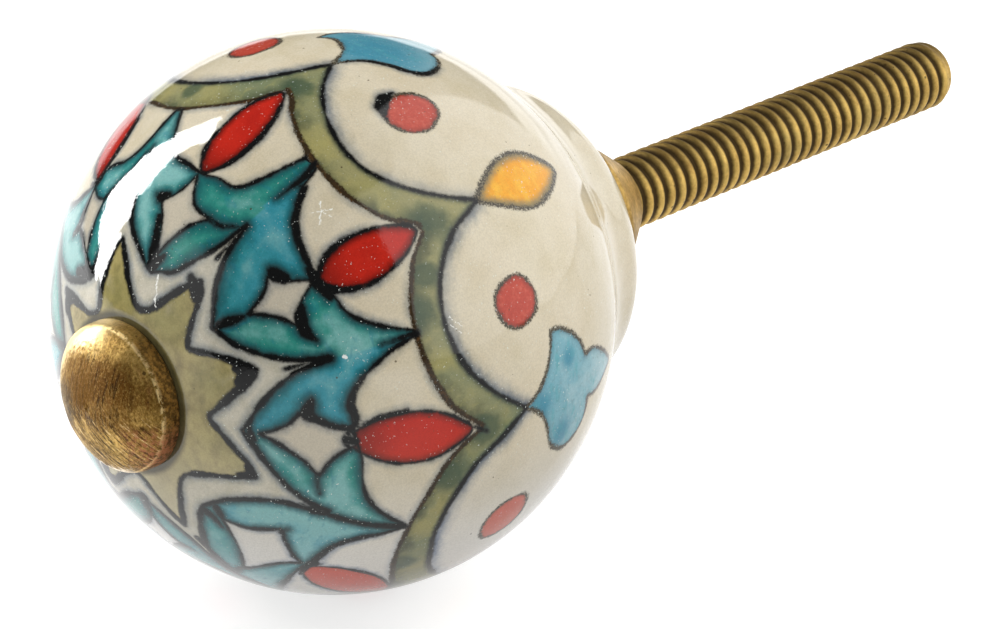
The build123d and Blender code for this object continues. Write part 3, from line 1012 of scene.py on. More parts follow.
def scallop_paint(work, paints, scallop, rim):
    """Scallops: olive, shaded along both edges, with fibres of the brush and yellow and green patches."""
    board = work.board
    shaded = board.swayed(scallop, work.brush, 0.7)
    shaded = board.swayed(shaded, work.cloud, 2.4)
    fibres = board.noise(board.stretched(work.here, (1.6, 1.0, 1.6)), 1300.0, 3.0, 0.6, 0.4)
    yellow = board.swayed(board.layer("yellow"), work.cloud, 1.2)
    green = board.swayed(board.layer("green"), work.cloud, 1.6)
    clouds = board.swayed(work.cloud, work.slow, 1.0)
    colour = board.toned(paints.olive, work.slow, 0.35, 0.6, 1.0, paint(120, 128, 96))
    colour = board.toned(colour, work.cloud, 0.45, 0.75, 0.8, paint(166, 156, 96))
    colour = board.toned(colour, shaded, 1.0, -0.1, 0.75, paints.olive_dark)
    colour = board.toned(colour, rim, -0.55, 0.0, 0.5, paints.olive_dark)
    colour = board.toned(colour, fibres, 0.5, 0.75, 0.3, paint(170, 162, 98))
    colour = board.toned(colour, yellow, 0.1, 1.0, 0.6, paint(164, 156, 98))
    colour = board.toned(colour, green, 0.2, 0.8, 0.8, paint(62, 82, 64))
    return board.toned(colour, clouds, 0.56, 0.8, 0.55, paint(58, 98, 74))


def petal_paint(work, paints, petal):
    """Petals: dark along the edge and at the tip near the cap, and paler low down as painted light."""
    board = work.board
    colour = board.toned(paints.petal, work.strayed(petal), 0.62, 0.05, 0.9, paint(86, 20, 14))
    colour = board.toned(colour, work.cloud, 0.45, 0.75, 0.5, paint(158, 28, 20))
    colour = board.toned(colour, work.brush, 0.6, 0.8, 0.4, paint(208, 62, 42))
    colour = board.toned(colour, board.layer("polar"), 0.55, 0.46, 0.65, paint(84, 20, 14))
    # Painted light: paler low down, for the pale sheen mirrored on the lower ball
    return board.toned(colour, work.height, 2 * MM, -12 * MM, 0.75, paint(214, 92, 70))


def dot_paint(work, paints, dot):
    """Dots: thinner red than the petals, and paler low down as painted light."""
    board = work.board
    colour = board.toned(paints.dot, work.fine, 0.45, 0.7, 0.5, paint(204, 98, 76))
    colour = board.toned(colour, work.cloud, 0.5, 0.7, 0.4, paint(168, 48, 36))
    colour = board.toned(colour, work.strayed(dot), 0.5, 0.0, 0.7, paint(120, 40, 30))
    # Painted light: paler low down, for the pale sheen mirrored on the lower ball
    return board.toned(colour, work.height, 2 * MM, -12 * MM, 0.75, paint(214, 112, 92))


def tulip_paint(work, paints, tulip):
    """Tulips: deep blue at the tip and pale behind."""
    board = work.board
    fading = board.swayed(board.layer("polar"), work.cloud, 0.4)
    deep = board.swayed(board.layer("deep"), work.cloud, 1.2)
    colour = board.toned(paints.tulip, fading, 0.94, 1.1, 0.7, paint(166, 196, 200))
    colour = board.toned(colour, work.brush, 0.5, 0.75, 0.5, paint(78, 158, 176))
    colour = board.toned(colour, work.fine, 0.52, 0.72, 0.4, paint(104, 138, 134))
    colour = board.toned(colour, work.cloud, 0.52, 0.68, 0.55, paint(168, 198, 202))
    colour = board.toned(colour, deep, -0.1, 1.0, 0.85, paints.tulip_deep)
    colour = board.toned(colour, work.brush, 0.5, 0.7, 0.35, paint(96, 168, 170))
    return board.toned(colour, work.strayed(tulip), 0.55, 0.0, 0.5, paint(70, 112, 128))


def bud_paint(work, paints, bud):
    """Buds: orange with a wide olive edge."""
    board = work.board
    edge = board.math("MULTIPLY_ADD", work.grain, 1.5, work.strayed(bud))
    colour = board.toned(paints.bud, work.brush, 0.4, 0.7, 1.0, paint(236, 176, 44))
    return board.toned(colour, edge, 0.75, 0.15, 0.9, paint(120, 114, 84))


def inked(work, paints, colour, black, brown, grey, off_paint):
    """Ink over the paint, with a dark teal fringe where it has run into the leaves and scallops."""
    board = work.board
    fringe = board.step(work.strayed(black), 0.26, 0.0, 0.0, 0.5)
    fringe = board.math("MULTIPLY", fringe, board.step(off_paint, 0.05, -0.05))
    colour = board.mix(fringe, colour, paint(52, 66, 66))
    rough_edge = board.math("MULTIPLY_ADD", work.grain, 0.5, board.math("MULTIPLY", work.waver, 0.8))
    grey = board.math("ADD", grey, board.math("MULTIPLY_ADD", work.grain, 1.2, rough_edge))
    brown = board.math("ADD", brown, board.math("MULTIPLY_ADD", work.grain, 0.7, rough_edge))
    black = board.math("ADD", black, rough_edge)
    inks = [
        (grey, 0.1, board.toned(paints.ink_grey, work.grit, 0.5, 0.64, 0.75, paint(140, 132, 112))),
        (brown, 0.09, board.toned(paints.ink_brown, work.fine, 0.5, 0.72, 0.6, paint(96, 66, 34))),
        (black, 0.11, board.toned(paints.ink, work.brush, 0.55, 0.8, 0.4, paints.ink_thin)),
    ]
    for distance, soft, ink in inks:
        colour = board.mix(board.step(distance, soft, -soft), colour, ink)
    return colour


def fired(work, colour, glint_bumps, bare):
    """Grain of the fired glaze, dark kiln specks, and painted glints: pale specks over the darker paints."""
    board = work.board
    colour = board.mix(board.step(work.grit, 0.3, 0.75, 0.0, 0.16), colour, paint(120, 112, 104), "MULTIPLY")
    specks = board.spots(work.here, 1500.0, 0.1, 0.25)
    colour = board.mix(board.math("MULTIPLY", specks, 0.75), colour, paint(70, 54, 38))
    # Painted glints: pale specks where small bumps in the glaze catch the light
    shown = board.math("MULTIPLY", glint_bumps, board.step(work.slow, 0.42, 0.58, 0.3, 1.0))
    over_paint = board.math("MULTIPLY_ADD", board.step(bare, 0.25, -0.05), 0.8, 0.05)
    return board.mix(board.math("MULTIPLY", shown, over_paint), colour, paint(218, 224, 216))


def nicked(board, colour, crooked, centre, radius):
    """Fine pale nicks in the glaze, and one painted glint."""
    for width, points in NICKS:
        for start, end in zip(points[:-1], points[1:]):
            nick = use_group(board, nick_group(), {
                "Place": crooked, "Half Width": width / 2 * MM,
                "Start": on_ball(*start, centre, radius), "End": on_ball(*end, centre, radius),
            })
            colour = board.mix(board.math("MULTIPLY", nick.outputs[0], 0.85), colour, paint(244, 244, 238))
    return colour


def shaded_under_cap(work, colour):
    """Painted shadow where the glaze meets the cap, a dark ring round the seat."""
    board = work.board
    away = board.math("MULTIPLY", work.height, work.height)
    away = board.math("SQRT", board.math("MULTIPLY_ADD", work.across, work.across, away))
    corner = board.step(away, 5.15 * MM, 4.7 * MM, 0.0, 0.8)
    corner = board.math("MULTIPLY", corner, board.step(work.ahead, -25 * MM, -30 * MM))
    return board.mix(corner, colour, paint(34, 32, 20))


def glaze_material(paints, centre, radius):
    """Hand-painted ceramic under a clear glaze. centre and radius are those of the ball."""
    material, board, surface = new_material("painted_glaze")
    work = Brushwork(board, paints.wobble)
    star, arch, foot = board.layer("past_star"), board.layer("past_arch"), board.layer("past_foot")
    scallop, rim = board.layer("past_scallop"), board.layer("past_rim")
    window, petal, dot = board.layer("in_window"), board.layer("in_petal"), board.layer("in_dot")
    tulip, bud = board.layer("in_tulip"), board.layer("in_bud")

    in_star = board.opposite(star)
    band = board.least(star, board.opposite(arch))
    leaf = board.least(arch, board.opposite(foot), board.opposite(window))
    olive = board.least(scallop, board.opposite(rim))
    petal_shown = board.least(petal, board.opposite(window))

    # Outlines: black ones, brown ones, and grey ones that let the paint show
    black = board.least(work.line(arch, 0.36), work.line(window, 0.24), work.line(rim, 0.32),
                        work.line(star, 0.46), work.line(foot, 0.26), work.line(petal_shown, 0.24),
                        board.layer("marks"))
    brown = work.line(scallop, 0.34)
    grey = board.least(work.line(dot, 0.22), work.line(tulip, 0.28), work.line(bud, 0.3))
    outline = board.least(black, brown, grey)

    # The paints, in the order in which they lie over one another
    colour = ground_paint(work, paints, window)
    pale = board.toned(paints.pale_band, work.brush, 0.3, 0.7, 1.0, paint(188, 182, 162))
    colour = board.mix(work.inside(band), colour, pale)
    colour = bled(work, colour, board.least(black, brown), rim)
    colour = board.mix(work.inside(leaf), colour, leaf_paint(work, paints, outline))
    colour = board.mix(work.inside(in_star), colour, star_paint(work, paints))
    colour = board.mix(work.inside(olive), colour, scallop_paint(work, paints, scallop, rim))
    colour = board.mix(work.inside(petal_shown), colour, petal_paint(work, paints, petal))
    colour = board.mix(work.inside(dot), colour, dot_paint(work, paints, dot))
    colour = board.mix(work.inside(tulip), colour, tulip_paint(work, paints, tulip))
    colour = board.mix(work.inside(bud), colour, bud_paint(work, paints, bud))
    off_paint = board.least(board.opposite(leaf), board.opposite(olive))
    colour = inked(work, paints, colour, black, brown, grey, off_paint)

    # What the kiln and wear have done, with painted glints. The glinting specks and the nicks are crooked.
    crooked = board.add("ShaderNodeTexNoise", {"Vector": work.here, "Scale": 5000.0}).outputs["Color"]
    crooked = board.vector("MULTIPLY_ADD", crooked, (0.3 * MM,) * 3, (-0.15 * MM,) * 3)
    crooked = board.vector("ADD", work.here, crooked)
    glint_bumps = board.spots(board.stretched(crooked, (1.4, 1.1, 0.9)), 4200.0, 0.18, 0.85)
    bare = board.least(off_paint, board.opposite(petal), in_star, outline)
    colour = fired(work, colour, glint_bumps, bare)
    colour = nicked(board, colour, crooked, centre, radius)
    # Painted shadow of the cap on the glaze round its seat
    colour = shaded_under_cap(work, colour)
    board.put(surface.inputs["Base Color"], colour)
    board.put(surface.inputs["Roughness"], board.step(work.fine, 0.3, 0.8, 0.02, 0.04))
    surface.inputs["IOR"].default_value = 1.5

    # The glaze ripples, and the ink and the glinting specks stand a little proud
    relief = board.math("MULTIPLY", board.noise(work.here, 300.0, 1.0, 0.5), 2.0)
    relief = board.math("MULTIPLY_ADD", board.step(outline, 0.4, -0.3), 0.3, relief)
    relief = board.math("MULTIPLY_ADD", board.step(work.fine, 0.2, 0.8), 0.06, relief)
    relief = board.math("MULTIPLY_ADD", glint_bumps, 0.2, relief)
    bump = board.add("ShaderNodeBump", {"Height": relief, "Strength": 0.4, "Distance": 0.00006})
    board.put(surface.inputs["Normal"], bump.outputs[0])
    return material


def cap_material(brass):
    """Brass of the cap: streaked in the middle, scratched below, rubbed along its edge, with painted
    highlights on the left and a painted dark reflection in the middle.
    """
    material, board, surface = new_material("cap_brass")
    here = board.here()
    rim, edge = board.layer("rim"), board.layer("edge")
    side, _, up = board.add("ShaderNodeSeparateXYZ", {"Vector": here}).outputs
    grain = board.noise(here, 3400.0, 3.0, 0.65)
    loose = board.math("SUBTRACT", grain, 0.5)
    aged = use_group(board, tarnish_group(), {
        "Place": here, "Bright": brass.bright, "Tarnish": brass.tarnish,
        "Amount": brass.amount, "Rubbed": board.math("MULTIPLY", edge, 0.2),
    })
    colour = aged.outputs["Color"]

    def patch(x, z, wide, tall, ragged):
        """A ragged oval patch, at 1 in its middle. Its place and size are millimetres."""
        a = board.math("MULTIPLY_ADD", side, 1 / (wide * MM), -x / wide)
        b = board.math("MULTIPLY_ADD", up, 1 / (tall * MM), -z / tall)
        away = board.math("MULTIPLY_ADD", a, a, board.math("MULTIPLY", b, b))
        return board.step(board.math("MULTIPLY_ADD", loose, ragged, away), 1.25, 0.35)

    # Painted dark reflection of the room in front: red-brown in the middle, with upright streaks
    dark = patch(0.9, 0.9, 2.7, 2.3, 1.8)
    colour = board.mix(board.math("MULTIPLY", dark, 0.6), colour, paint(104, 64, 22))
    streaks = board.noise(board.stretched(here, (7.0, 1.0, 0.8)), 800.0, 3.0, 0.7, 0.5)
    middle = patch(-0.2, 1.2, 3.4, 2.4, 1.0)
    colour = board.mix(board.math("MULTIPLY", board.step(streaks, 0.5, 0.58, 0.0, 0.85), middle), colour,
                       paint(46, 30, 12))

    # Slanting scratches in the lower half
    slant = board.add("ShaderNodeMapping", {"Vector": here, "Rotation": (0, math.radians(-52), 0)}).outputs[0]
    cuts = board.noise(board.stretched(slant, (0.7, 1.0, 7.0)), 1000.0, 4.0, 0.72)
    below = board.step(board.math("MULTIPLY_ADD", loose, 3 * MM, up), 0.8 * MM, -1.0 * MM)
    dark_cuts = board.math("MULTIPLY", board.step(cuts, 0.51, 0.58, 0.0, 0.95), below)
    colour = board.mix(dark_cuts, colour, paint(60, 42, 18))
    light_cuts = board.math("MULTIPLY", board.step(cuts, 0.42, 0.34, 0.0, 0.9), below)
    colour = board.mix(light_cuts, colour, paint(244, 216, 156))

    # Pitted grain all over
    pits = board.noise(board.stretched(here, (1.3, 1.0, 0.8)), 7500.0, 2.0, 0.75)
    colour = board.toned(colour, pits, 0.5, 0.62, 0.35, paint(80, 56, 22))
    colour = board.toned(colour, pits, 0.46, 0.36, 0.2, paint(232, 192, 112))

    # Painted highlight: a pale crescent inside the upper left edge, smoother there, with a painted shadow
    # beside it
    axis_away = board.math("SQRT", board.math("MULTIPLY_ADD", side, side, board.math("MULTIPLY", up, up)))
    ragged_away = board.math("MULTIPLY_ADD", loose, 1.6 * MM, axis_away)
    polish_and_highlight = board.math("MULTIPLY", board.step(ragged_away, 2.9 * MM, 4.0 * MM),
                          board.step(side, 0.8 * MM, -1.0 * MM))
    polish_and_highlight = board.math("MULTIPLY", polish_and_highlight, board.step(up, -0.4 * MM, 1.4 * MM))
    colour = board.mix(board.math("MULTIPLY", polish_and_highlight, 0.6), colour, paint(250, 226, 168))
    shadow = board.math("MULTIPLY", patch(-1.6, 1.4, 2.2, 1.9, 1.4), board.math("SUBTRACT", 1.0, polish_and_highlight))
    colour = board.mix(board.math("MULTIPLY", shadow, 0.6), colour, paint(118, 84, 34))

    # Worn line along the edge, copper low on the right, grey stain on the left
    worn = board.math("MULTIPLY", board.step(rim, 0.2, 0.8), board.step(grain, 0.42, 0.52, 0.0, 1.0))
    colour = board.mix(worn, colour, paint(255, 228, 164))
    beyond = board.math("MULTIPLY", edge, board.step(side, 0.5 * MM, 2.5 * MM, 0.0, 0.85))
    dull = board.mix(board.step(grain, 0.42, 0.6), paint(72, 48, 20), paint(150, 110, 54))
    colour = board.mix(beyond, colour, dull)
    copper = board.math("MULTIPLY", board.step(side, 1.6 * MM, 3.4 * MM), board.step(up, 0.0, -1.4 * MM))
    copper = board.math("MULTIPLY", copper, board.step(grain, 0.4, 0.62, 0.1, 0.75))
    colour = board.mix(copper, colour, paint(170, 106, 76))
    stain = board.math("MULTIPLY", patch(-2.4, -0.4, 1.2, 1.5, 2.6), 0.6)
    colour = board.mix(stain, colour, paint(78, 66, 50))

    # Painted highlight along the lower left edge
    lower_left_highlight = board.math("MULTIPLY", board.step(side, 2.5 * MM, 0.5 * MM),
                            board.step(up, 0.5 * MM, -1.5 * MM))
    lower_left_highlight = board.math("MULTIPLY", board.step(ragged_away, 3.9 * MM, 4.3 * MM), lower_left_highlight)
    colour = board.mix(lower_left_highlight, colour, paint(255, 242, 222))
    board.put(surface.inputs["Base Color"], colour)
    surface.inputs["Metallic"].default_value = 1.0
    rough = board.math("MULTIPLY_ADD", pits, 0.14, aged.outputs["Roughness"])
    rough = board.math("MULTIPLY_ADD", shadow, 0.12, rough)
    rough = board.math("MULTIPLY_ADD", polish_and_highlight, -0.12, rough)
    rough = board.math("MULTIPLY_ADD", edge, 0.12, rough)
    board.put(surface.inputs["Roughness"], rough)
    marks = use_group(board, scratch_group(), {"Place": here, "Strength": 0.8})
    height = board.math("MULTIPLY_ADD", cuts, -1.0, marks.outputs["Height"])
    height = board.math("MULTIPLY_ADD", streaks, -0.8, height)
    height = board.math("MULTIPLY_ADD", pits, -1.0, height)
    height = board.math("MULTIPLY", height, board.step(polish_and_highlight, 0.0, 1.0, 1.0, 0.25))
    bump = board.add("ShaderNodeBump", {"Height": height, "Strength": 0.8, "Distance": 0.00006})
    board.put(surface.inputs["Normal"], bump.outputs[0])
    return material


def nut_material(brass):
    """Brass of the cone nut, with turning marks."""
    material, board, surface = new_material("nut_brass")
    here = board.here()
    aged = use_group(board, tarnish_group(), {
        "Place": here, "Bright": paint(232, 192, 110), "Tarnish": paint(150, 118, 58),
        "Amount": brass.amount - 0.05, "Rubbed": 0.0,
    })
    turning = board.noise(board.stretched(here, (0.06, 6.0, 0.06)), 1500.0, 3.0, 0.6)
    colour = board.toned(aged.outputs["Color"], turning, 0.55, 0.8, 0.4, paint(96, 74, 36))
    marks = use_group(board, scratch_group(), {"Place": here, "Strength": 0.6})
    colour = board.mix(board.math("MULTIPLY", marks.outputs["Scratched"], 0.3), colour, paint(120, 84, 66))
    board.put(surface.inputs["Base Color"], colour)
    surface.inputs["Metallic"].default_value = 0.9
    board.put(surface.inputs["Roughness"], board.math("ADD", aged.outputs["Roughness"], 0.06))
    bump = board.add("ShaderNodeBump", {"Height": board.math("ADD", turning, marks.outputs["Height"]),
                                        "Strength": 0.35, "Distance": 0.00004})
    board.put(surface.inputs["Normal"], bump.outputs[0])
    return material


def stud_material(brass):
    """Brass of the stud, rubbed on the crests of the thread, darker toward its root, and with painted shade
    on top and below.
    """
    material, board, surface = new_material("stud_brass")
    here = board.here()
    crest = board.layer("crest")
    aged = use_group(board, tarnish_group(), {
        "Place": here, "Bright": paint(242, 206, 118), "Tarnish": paint(192, 156, 84),
        "Amount": brass.amount, "Rubbed": board.math("MULTIPLY", crest, 0.2),
    })
    grain = board.noise(here, 2600.0, 3.0, 0.6)
    slow = board.noise(here, 260.0, 2.0, 0.5)
    toward_root = board.swayed(crest, grain, 0.4)
    toward_root = board.swayed(toward_root, slow, 0.5)
    colour = board.toned(aged.outputs["Color"], slow, 0.5, 0.7, 0.4, paint(150, 138, 92))

    # Painted shade: darker brown along the top, where the dark room above is mirrored, and along the bottom
    up = board.add("ShaderNodeSeparateXYZ", {"Vector": here}).outputs[2]
    shade_top_and_bottom = board.math("MAXIMUM", board.step(up, 0.8 * MM, 2.2 * MM, 0.0, 0.6),
                         board.step(up, -1.0 * MM, -2.3 * MM, 0.0, 0.5))
    colour = board.mix(shade_top_and_bottom, colour, paint(96, 74, 38))
    # Darker toward the thread's root
    colour = board.mix(board.step(toward_root, 0.88, 0.1), colour, brass.root)
    board.put(surface.inputs["Base Color"], colour)
    surface.inputs["Metallic"].default_value = 0.92
    board.put(surface.inputs["Roughness"], board.math("ADD", aged.outputs["Roughness"], 0.16))
    bump = board.add("ShaderNodeBump", {"Height": grain, "Strength": 0.3, "Distance": 0.00005})
    board.put(surface.inputs["Normal"], bump.outputs[0])
    return material


# Pieces


class KNOB_OT_ceramic_body(bpy.types.Operator):
    """Build the painted ceramic body"""

    bl_idname = "knob.ceramic_body"
    bl_label = "Ceramic body"

    def execute(self, context):
        sizes = context.scene.knob_sizes
        ball = sizes.ball_diameter / 2
        neck = sizes.neck_diameter / 2
        seat = sizes.seat_diameter / 2
        bore = sizes.bore_diameter / 2
        recess = sizes.recess_diameter / 2
        blend, edge = sizes.neck_blend, sizes.rear_edge
        chamfer = 0.5 * MM
        centre = -sizes.neck_length - math.sqrt(ball**2 - neck**2)
        front = centre - math.sqrt(ball**2 - seat**2)

        # The hollow touches the ball and the rounded rear edge
        edge_r, edge_y = neck - edge, -edge
        apart = math.hypot(edge_r, edge_y - centre)
        along = ((ball + blend) ** 2 - (edge + blend) ** 2 + apart**2) / (2 * apart)
        aside = math.sqrt((ball + blend) ** 2 - along**2)
        out, back = edge_r / apart, (edge_y - centre) / apart
        blend_r, blend_y = along * out + aside * back, centre + along * back - aside * out
        ball_end = math.degrees(math.atan2(blend_y - centre, blend_r))
        edge_start = math.degrees(math.atan2(blend_y - edge_y, blend_r - edge_r))

        # The painted part of the ball has the finest rings, in degrees
        ring = 0.78
        seat_round = 0.12 * MM
        ball_start = math.degrees(math.asin((seat + seat_round) / ball)) - 90
        fine_end = PAINT_END + PATTERN_LEAN - 98

        section = [(bore, front + chamfer), (bore + chamfer, front), (seat - 0.2 * MM, front),
                   (seat - 0.02 * MM, front + 0.012 * MM)]
        section += arc(0, centre, ball, ball_start, fine_end, int((fine_end - ball_start) / ring))
        section += arc(0, centre, ball, fine_end, ball_end, 12)[1:]
        section += arc(blend_r, blend_y, blend, ball_end + 180, edge_start + 180, 12)[1:]
        section += arc(edge_r, edge_y, edge, edge_start, 90, 14)[1:]
        section += [(recess + 0.25 * MM, 0), (recess, -0.1 * MM), (recess, -sizes.recess_depth),
                    (bore + chamfer, -sizes.recess_depth), (bore, -sizes.recess_depth - chamfer),
                    (bore, centre / 2)]
        mesh = turned("ceramic_body_painted", section, turns=500, closed=True)
        painted_fields(mesh, (0, centre, 0), ball)
        glaze = glaze_material(context.scene.knob_paints, (0, centre, 0), ball)
        place("ceramic_body_painted", mesh, glaze, "ceramic_body", "painted_glaze")
        return {"FINISHED"}


class KNOB_OT_front_cap(bpy.types.Operator):
    """Build the domed brass cap"""

    bl_idname = "knob.front_cap"
    bl_label = "Front cap"

    def execute(self, context):
        sizes = context.scene.knob_sizes
        radius = rounded(CAP_HIGH.x - CAP_LOW.x) / 2
        seat, top = CAP_HIGH.y, CAP_LOW.y
        shoulder = seat - sizes.cap_side
        rise = shoulder - top
        dome = (radius**2 + rise**2) / (2 * rise)
        dome_y = top + dome

        # The rounded edge touches the side and the dome
        edge = sizes.cap_edge
        edge_r = radius - edge
        edge_y = dome_y - math.sqrt((dome - edge) ** 2 - edge_r**2)
        meet = math.degrees(math.atan2(edge_y - dome_y, edge_r))

        socket = sizes.shank_diameter / 2 + 0.05 * MM
        socket_top = STUD_LOW.y - 0.2 * MM
        foot = 0.12 * MM
        section = [(0, socket_top), (socket, socket_top), (socket, seat), (radius - foot, seat),
                   (radius, seat - foot)]
        section += [(radius, seat - (seat - edge_y) * s / 4) for s in (1, 2, 3)]
        section += arc(edge_r, edge_y, edge, 0, meet, 18)
        section += arc(0, dome_y, dome, meet, -90, 26)[1:]

        def uneven(r, y, angle):
            """Slight dents in the edge and the dome, always inwards."""
            dented = 0.035 * MM * np.sin(3 * angle + 0.6) * np.sin(7 * angle) * (r > radius * 0.6)
            sunk = 0.03 * MM * (1 + np.sin(2 * angle + r / radius * 5)) * (y < shoulder)
            return np.minimum(np.where(y < shoulder, r + np.minimum(dented, 0), r), radius), y + sunk

        def worn_line(r, y, angle):
            """1 along the shoulder, where the brass is rubbed bright."""
            away = np.abs(y - shoulder - 0.03 * MM) / (0.22 * MM)
            return np.clip(1 - away, 0, 1) * (r > 0.9 * radius)

        def outermost(r, y, angle):
            """1 at the outer edge and on the side."""
            return np.clip((r / radius - 0.96) / 0.03, 0, 1)

        mesh = turned("front_cap_domed", section, turns=160, shape=uneven)
        value_layer(mesh, "rim", worn_line)
        value_layer(mesh, "edge", outermost)
        place("front_cap_domed", mesh, cap_material(context.scene.knob_brass), "front_cap", "cap_brass")
        return {"FINISHED"}


class KNOB_OT_cone_nut(bpy.types.Operator):
    """Build the cone nut behind the ceramic"""

    bl_idname = "knob.cone_nut"
    bl_label = "Cone nut"

    def execute(self, context):
        sizes = context.scene.knob_sizes
        radius = rounded(NUT_HIGH.x - NUT_LOW.x) / 2
        base, end = NUT_LOW.y, sizes.nut_length
        shoulder = sizes.nut_body
        tip = rounded(STUD_HIGH.x - STUD_LOW.x) / 2 + sizes.nut_tip_wall
        bore = sizes.shank_diameter / 2 + 0.05 * MM
        chamfer = 0.3 * MM
        edge = 0.6 * MM
        slope = math.degrees(math.atan2(radius - tip, end - shoulder))
        back = edge * math.tan(math.radians(slope / 2))
        section = [(bore, base), (radius - chamfer, base), (radius, base + chamfer), (radius, shoulder / 2)]
        section += arc(radius - edge, shoulder - back, edge, 0, slope, 6)
        cone_r, cone_y = section[-1]
        section += [(cone_r + (tip - cone_r) * s, cone_y + (end - cone_y) * s)
                    for s in (0.12, 0.25, 0.4, 0.55, 0.7, 0.85, 0.96)]
        section += [(tip - 0.06 * MM, end - 0.01 * MM), (tip - 0.2 * MM, end), (bore, end)]
        mesh = turned("cone_nut_turned", section, turns=128, closed=True)
        place("cone_nut_turned", mesh, nut_material(context.scene.knob_brass), "cone_nut", "nut_brass")
        return {"FINISHED"}


class KNOB_OT_threaded_stud(bpy.types.Operator):
    """Build the threaded brass stud and its plain shank inside the knob"""

    bl_idname = "knob.threaded_stud"
    bl_label = "Threaded stud"

    def execute(self, context):
        sizes = context.scene.knob_sizes
        brass = stud_material(context.scene.knob_brass)
        radius = rounded(STUD_HIGH.x - STUD_LOW.x) / 2
        shank = sizes.shank_diameter / 2
        front, end, bare = STUD_LOW.y, STUD_HIGH.y, sizes.nut_length
        chamfer = 0.3 * MM
        joint = 0.02 * MM
        section = [(0, front), (shank - chamfer, front), (shank, front + chamfer), (shank, bare - joint),
                   (0, bare - joint)]
        mesh = turned("threaded_stud_shank", section, turns=48)
        value_layer(mesh, "crest", lambda r, y, angle: np.full(len(r), 0.8))
        place("threaded_stud_shank", mesh, brass, "threaded_stud", "stud_brass")

        pitch, depth = sizes.thread_pitch, sizes.thread_depth
        round_end = 1.1 * MM
        rings_per_turn = 12
        rings = int((end - bare) / pitch * rings_per_turn)
        first = bare + joint
        section = [(0, bare), (shank, bare)]
        section += [(radius, first + (end - first) * s / rings) for s in range(rings + 1)]
        section += [(radius * 0.5, end), (0, end)]
        last = len(section) - 3

        def thread(r, y, angle):
            """Cuts the thread, lets it fade out at the end, and rounds the tip."""
            turn = (y / pitch - angle / math.tau) % 1
            ridge = (0.5 + 0.5 * np.cos((turn - 0.5) * math.tau)) ** 0.85
            fade = np.clip((end - y) / (1.6 * pitch), 0.25, 1)
            run = np.clip((y - (end - round_end)) / round_end, 0, 1)
            shrink = round_end * 0.75 * (1 - np.sqrt(1 - run**2 * 0.98))
            rows = np.arange(r.shape[0])[:, None]
            threaded = (rows >= 2) & (rows <= last)
            out = np.where(threaded, r - depth * (1 - ridge) * fade - shrink, r)
            out = np.where(rows == last + 1, (radius - shrink.max()) * 0.6, out)
            return out, y

        def height(r, y, angle):
            """From 0 in the thread's root to 1 on its crest."""
            above = np.clip((r - (radius - depth)) / depth, 0, 1)
            return np.where(y > end - round_end, 0.8, above)

        mesh = turned("threaded_stud_cut", section, turns=96, shape=thread)
        value_layer(mesh, "crest", height)
        place("threaded_stud_cut", mesh, brass, "threaded_stud", "stud_brass")
        return {"FINISHED"}


# Stage. Places and directions are in metres, in the knob's frame.

CAMERA_PLACE = (0.1579, -0.1693, 0.0945)
CAMERA_RIGHT = (0.7243, 0.6895, 0)
CAMERA_FORWARD = (-0.6326, 0.6645, -0.3978)
LAMP_AIM = (0, -0.01, 0)
FLOOR_REACH = 2

# The narrow panel stands this far out on the left. Its corners are (y, z).
STRIP_X = -0.367
STRIP_CORNERS = [(-0.215, 0.0), (-0.165, 0.03), (-0.11, 0.055), (-0.068, 0.1), (-0.056, 0.2), (-0.022, 0.41),
                 (-0.105, 0.41), (-0.15, 0.24), (-0.2, 0.14), (-0.22, 0.08)]


def lamp(name, size, watts, at):
    """A soft rectangular lamp that shines on the knob and isn't mirrored in it."""
    data = bpy.data.lights.new(name, "AREA")
    data.shape = "RECTANGLE"
    data.size, data.size_y = size
    data.energy = watts
    light = bpy.data.objects.new(name, data)
    light.location = at
    light.rotation_euler = (Vector(LAMP_AIM) - Vector(at)).to_track_quat("-Z", "Y").to_euler()
    light.visible_camera = False
    light.visible_glossy = False
    bpy.context.scene.collection.objects.link(light)


def flat_piece(name, corners, material):
    """A flat piece of the stage."""
    mesh = bpy.data.meshes.new(name)
    mesh.from_pydata(corners, [], [tuple(range(len(corners)))])
    mesh.materials.append(material)
    piece = bpy.data.objects.new(name, mesh)
    bpy.context.scene.collection.objects.link(piece)
    return piece


def mirrored_rays(board, rays):
    """1 for what the glaze and the metal mirror."""
    return board.math("ADD", rays.outputs["Is Glossy Ray"], rays.outputs["Is Transmission Ray"], clamp=True)


def floor_material(tint):
    """Pale floor: white to the camera, and mirrored only where it lies left of the knob."""
    material, board, surface = new_material("pale_floor")
    here = board.here()
    clouds = board.step(board.noise(here, 3.0, 2.0), 0.3, 0.7, 0.0, 0.1)
    board.put(surface.inputs["Base Color"], board.mix(clouds, tint, paint(187, 187, 187)))
    surface.inputs["Roughness"].default_value = 0.9
    surface.inputs["Specular IOR Level"].default_value = 0.0
    across, ahead, _ = board.add("ShaderNodeSeparateXYZ", {"Vector": here}).outputs
    near = board.math("MAXIMUM", board.step(ahead, 0.0, 0.03, 1.0, 0.5),
                      board.step(across, -0.05, -0.09, 0.0, 0.7))
    glow = board.math("MULTIPLY", board.step(across, -0.02, 0.03, 1.1, 0.0), near)
    rays = board.add("ShaderNodeLightPath")
    glow = board.math("MULTIPLY", mirrored_rays(board, rays), glow)
    glow = board.math("MULTIPLY_ADD", rays.outputs["Is Camera Ray"], 0.66, glow)
    surface.inputs["Emission Color"].default_value = (1, 1, 1, 1)
    board.put(surface.inputs["Emission Strength"], glow)
    return material


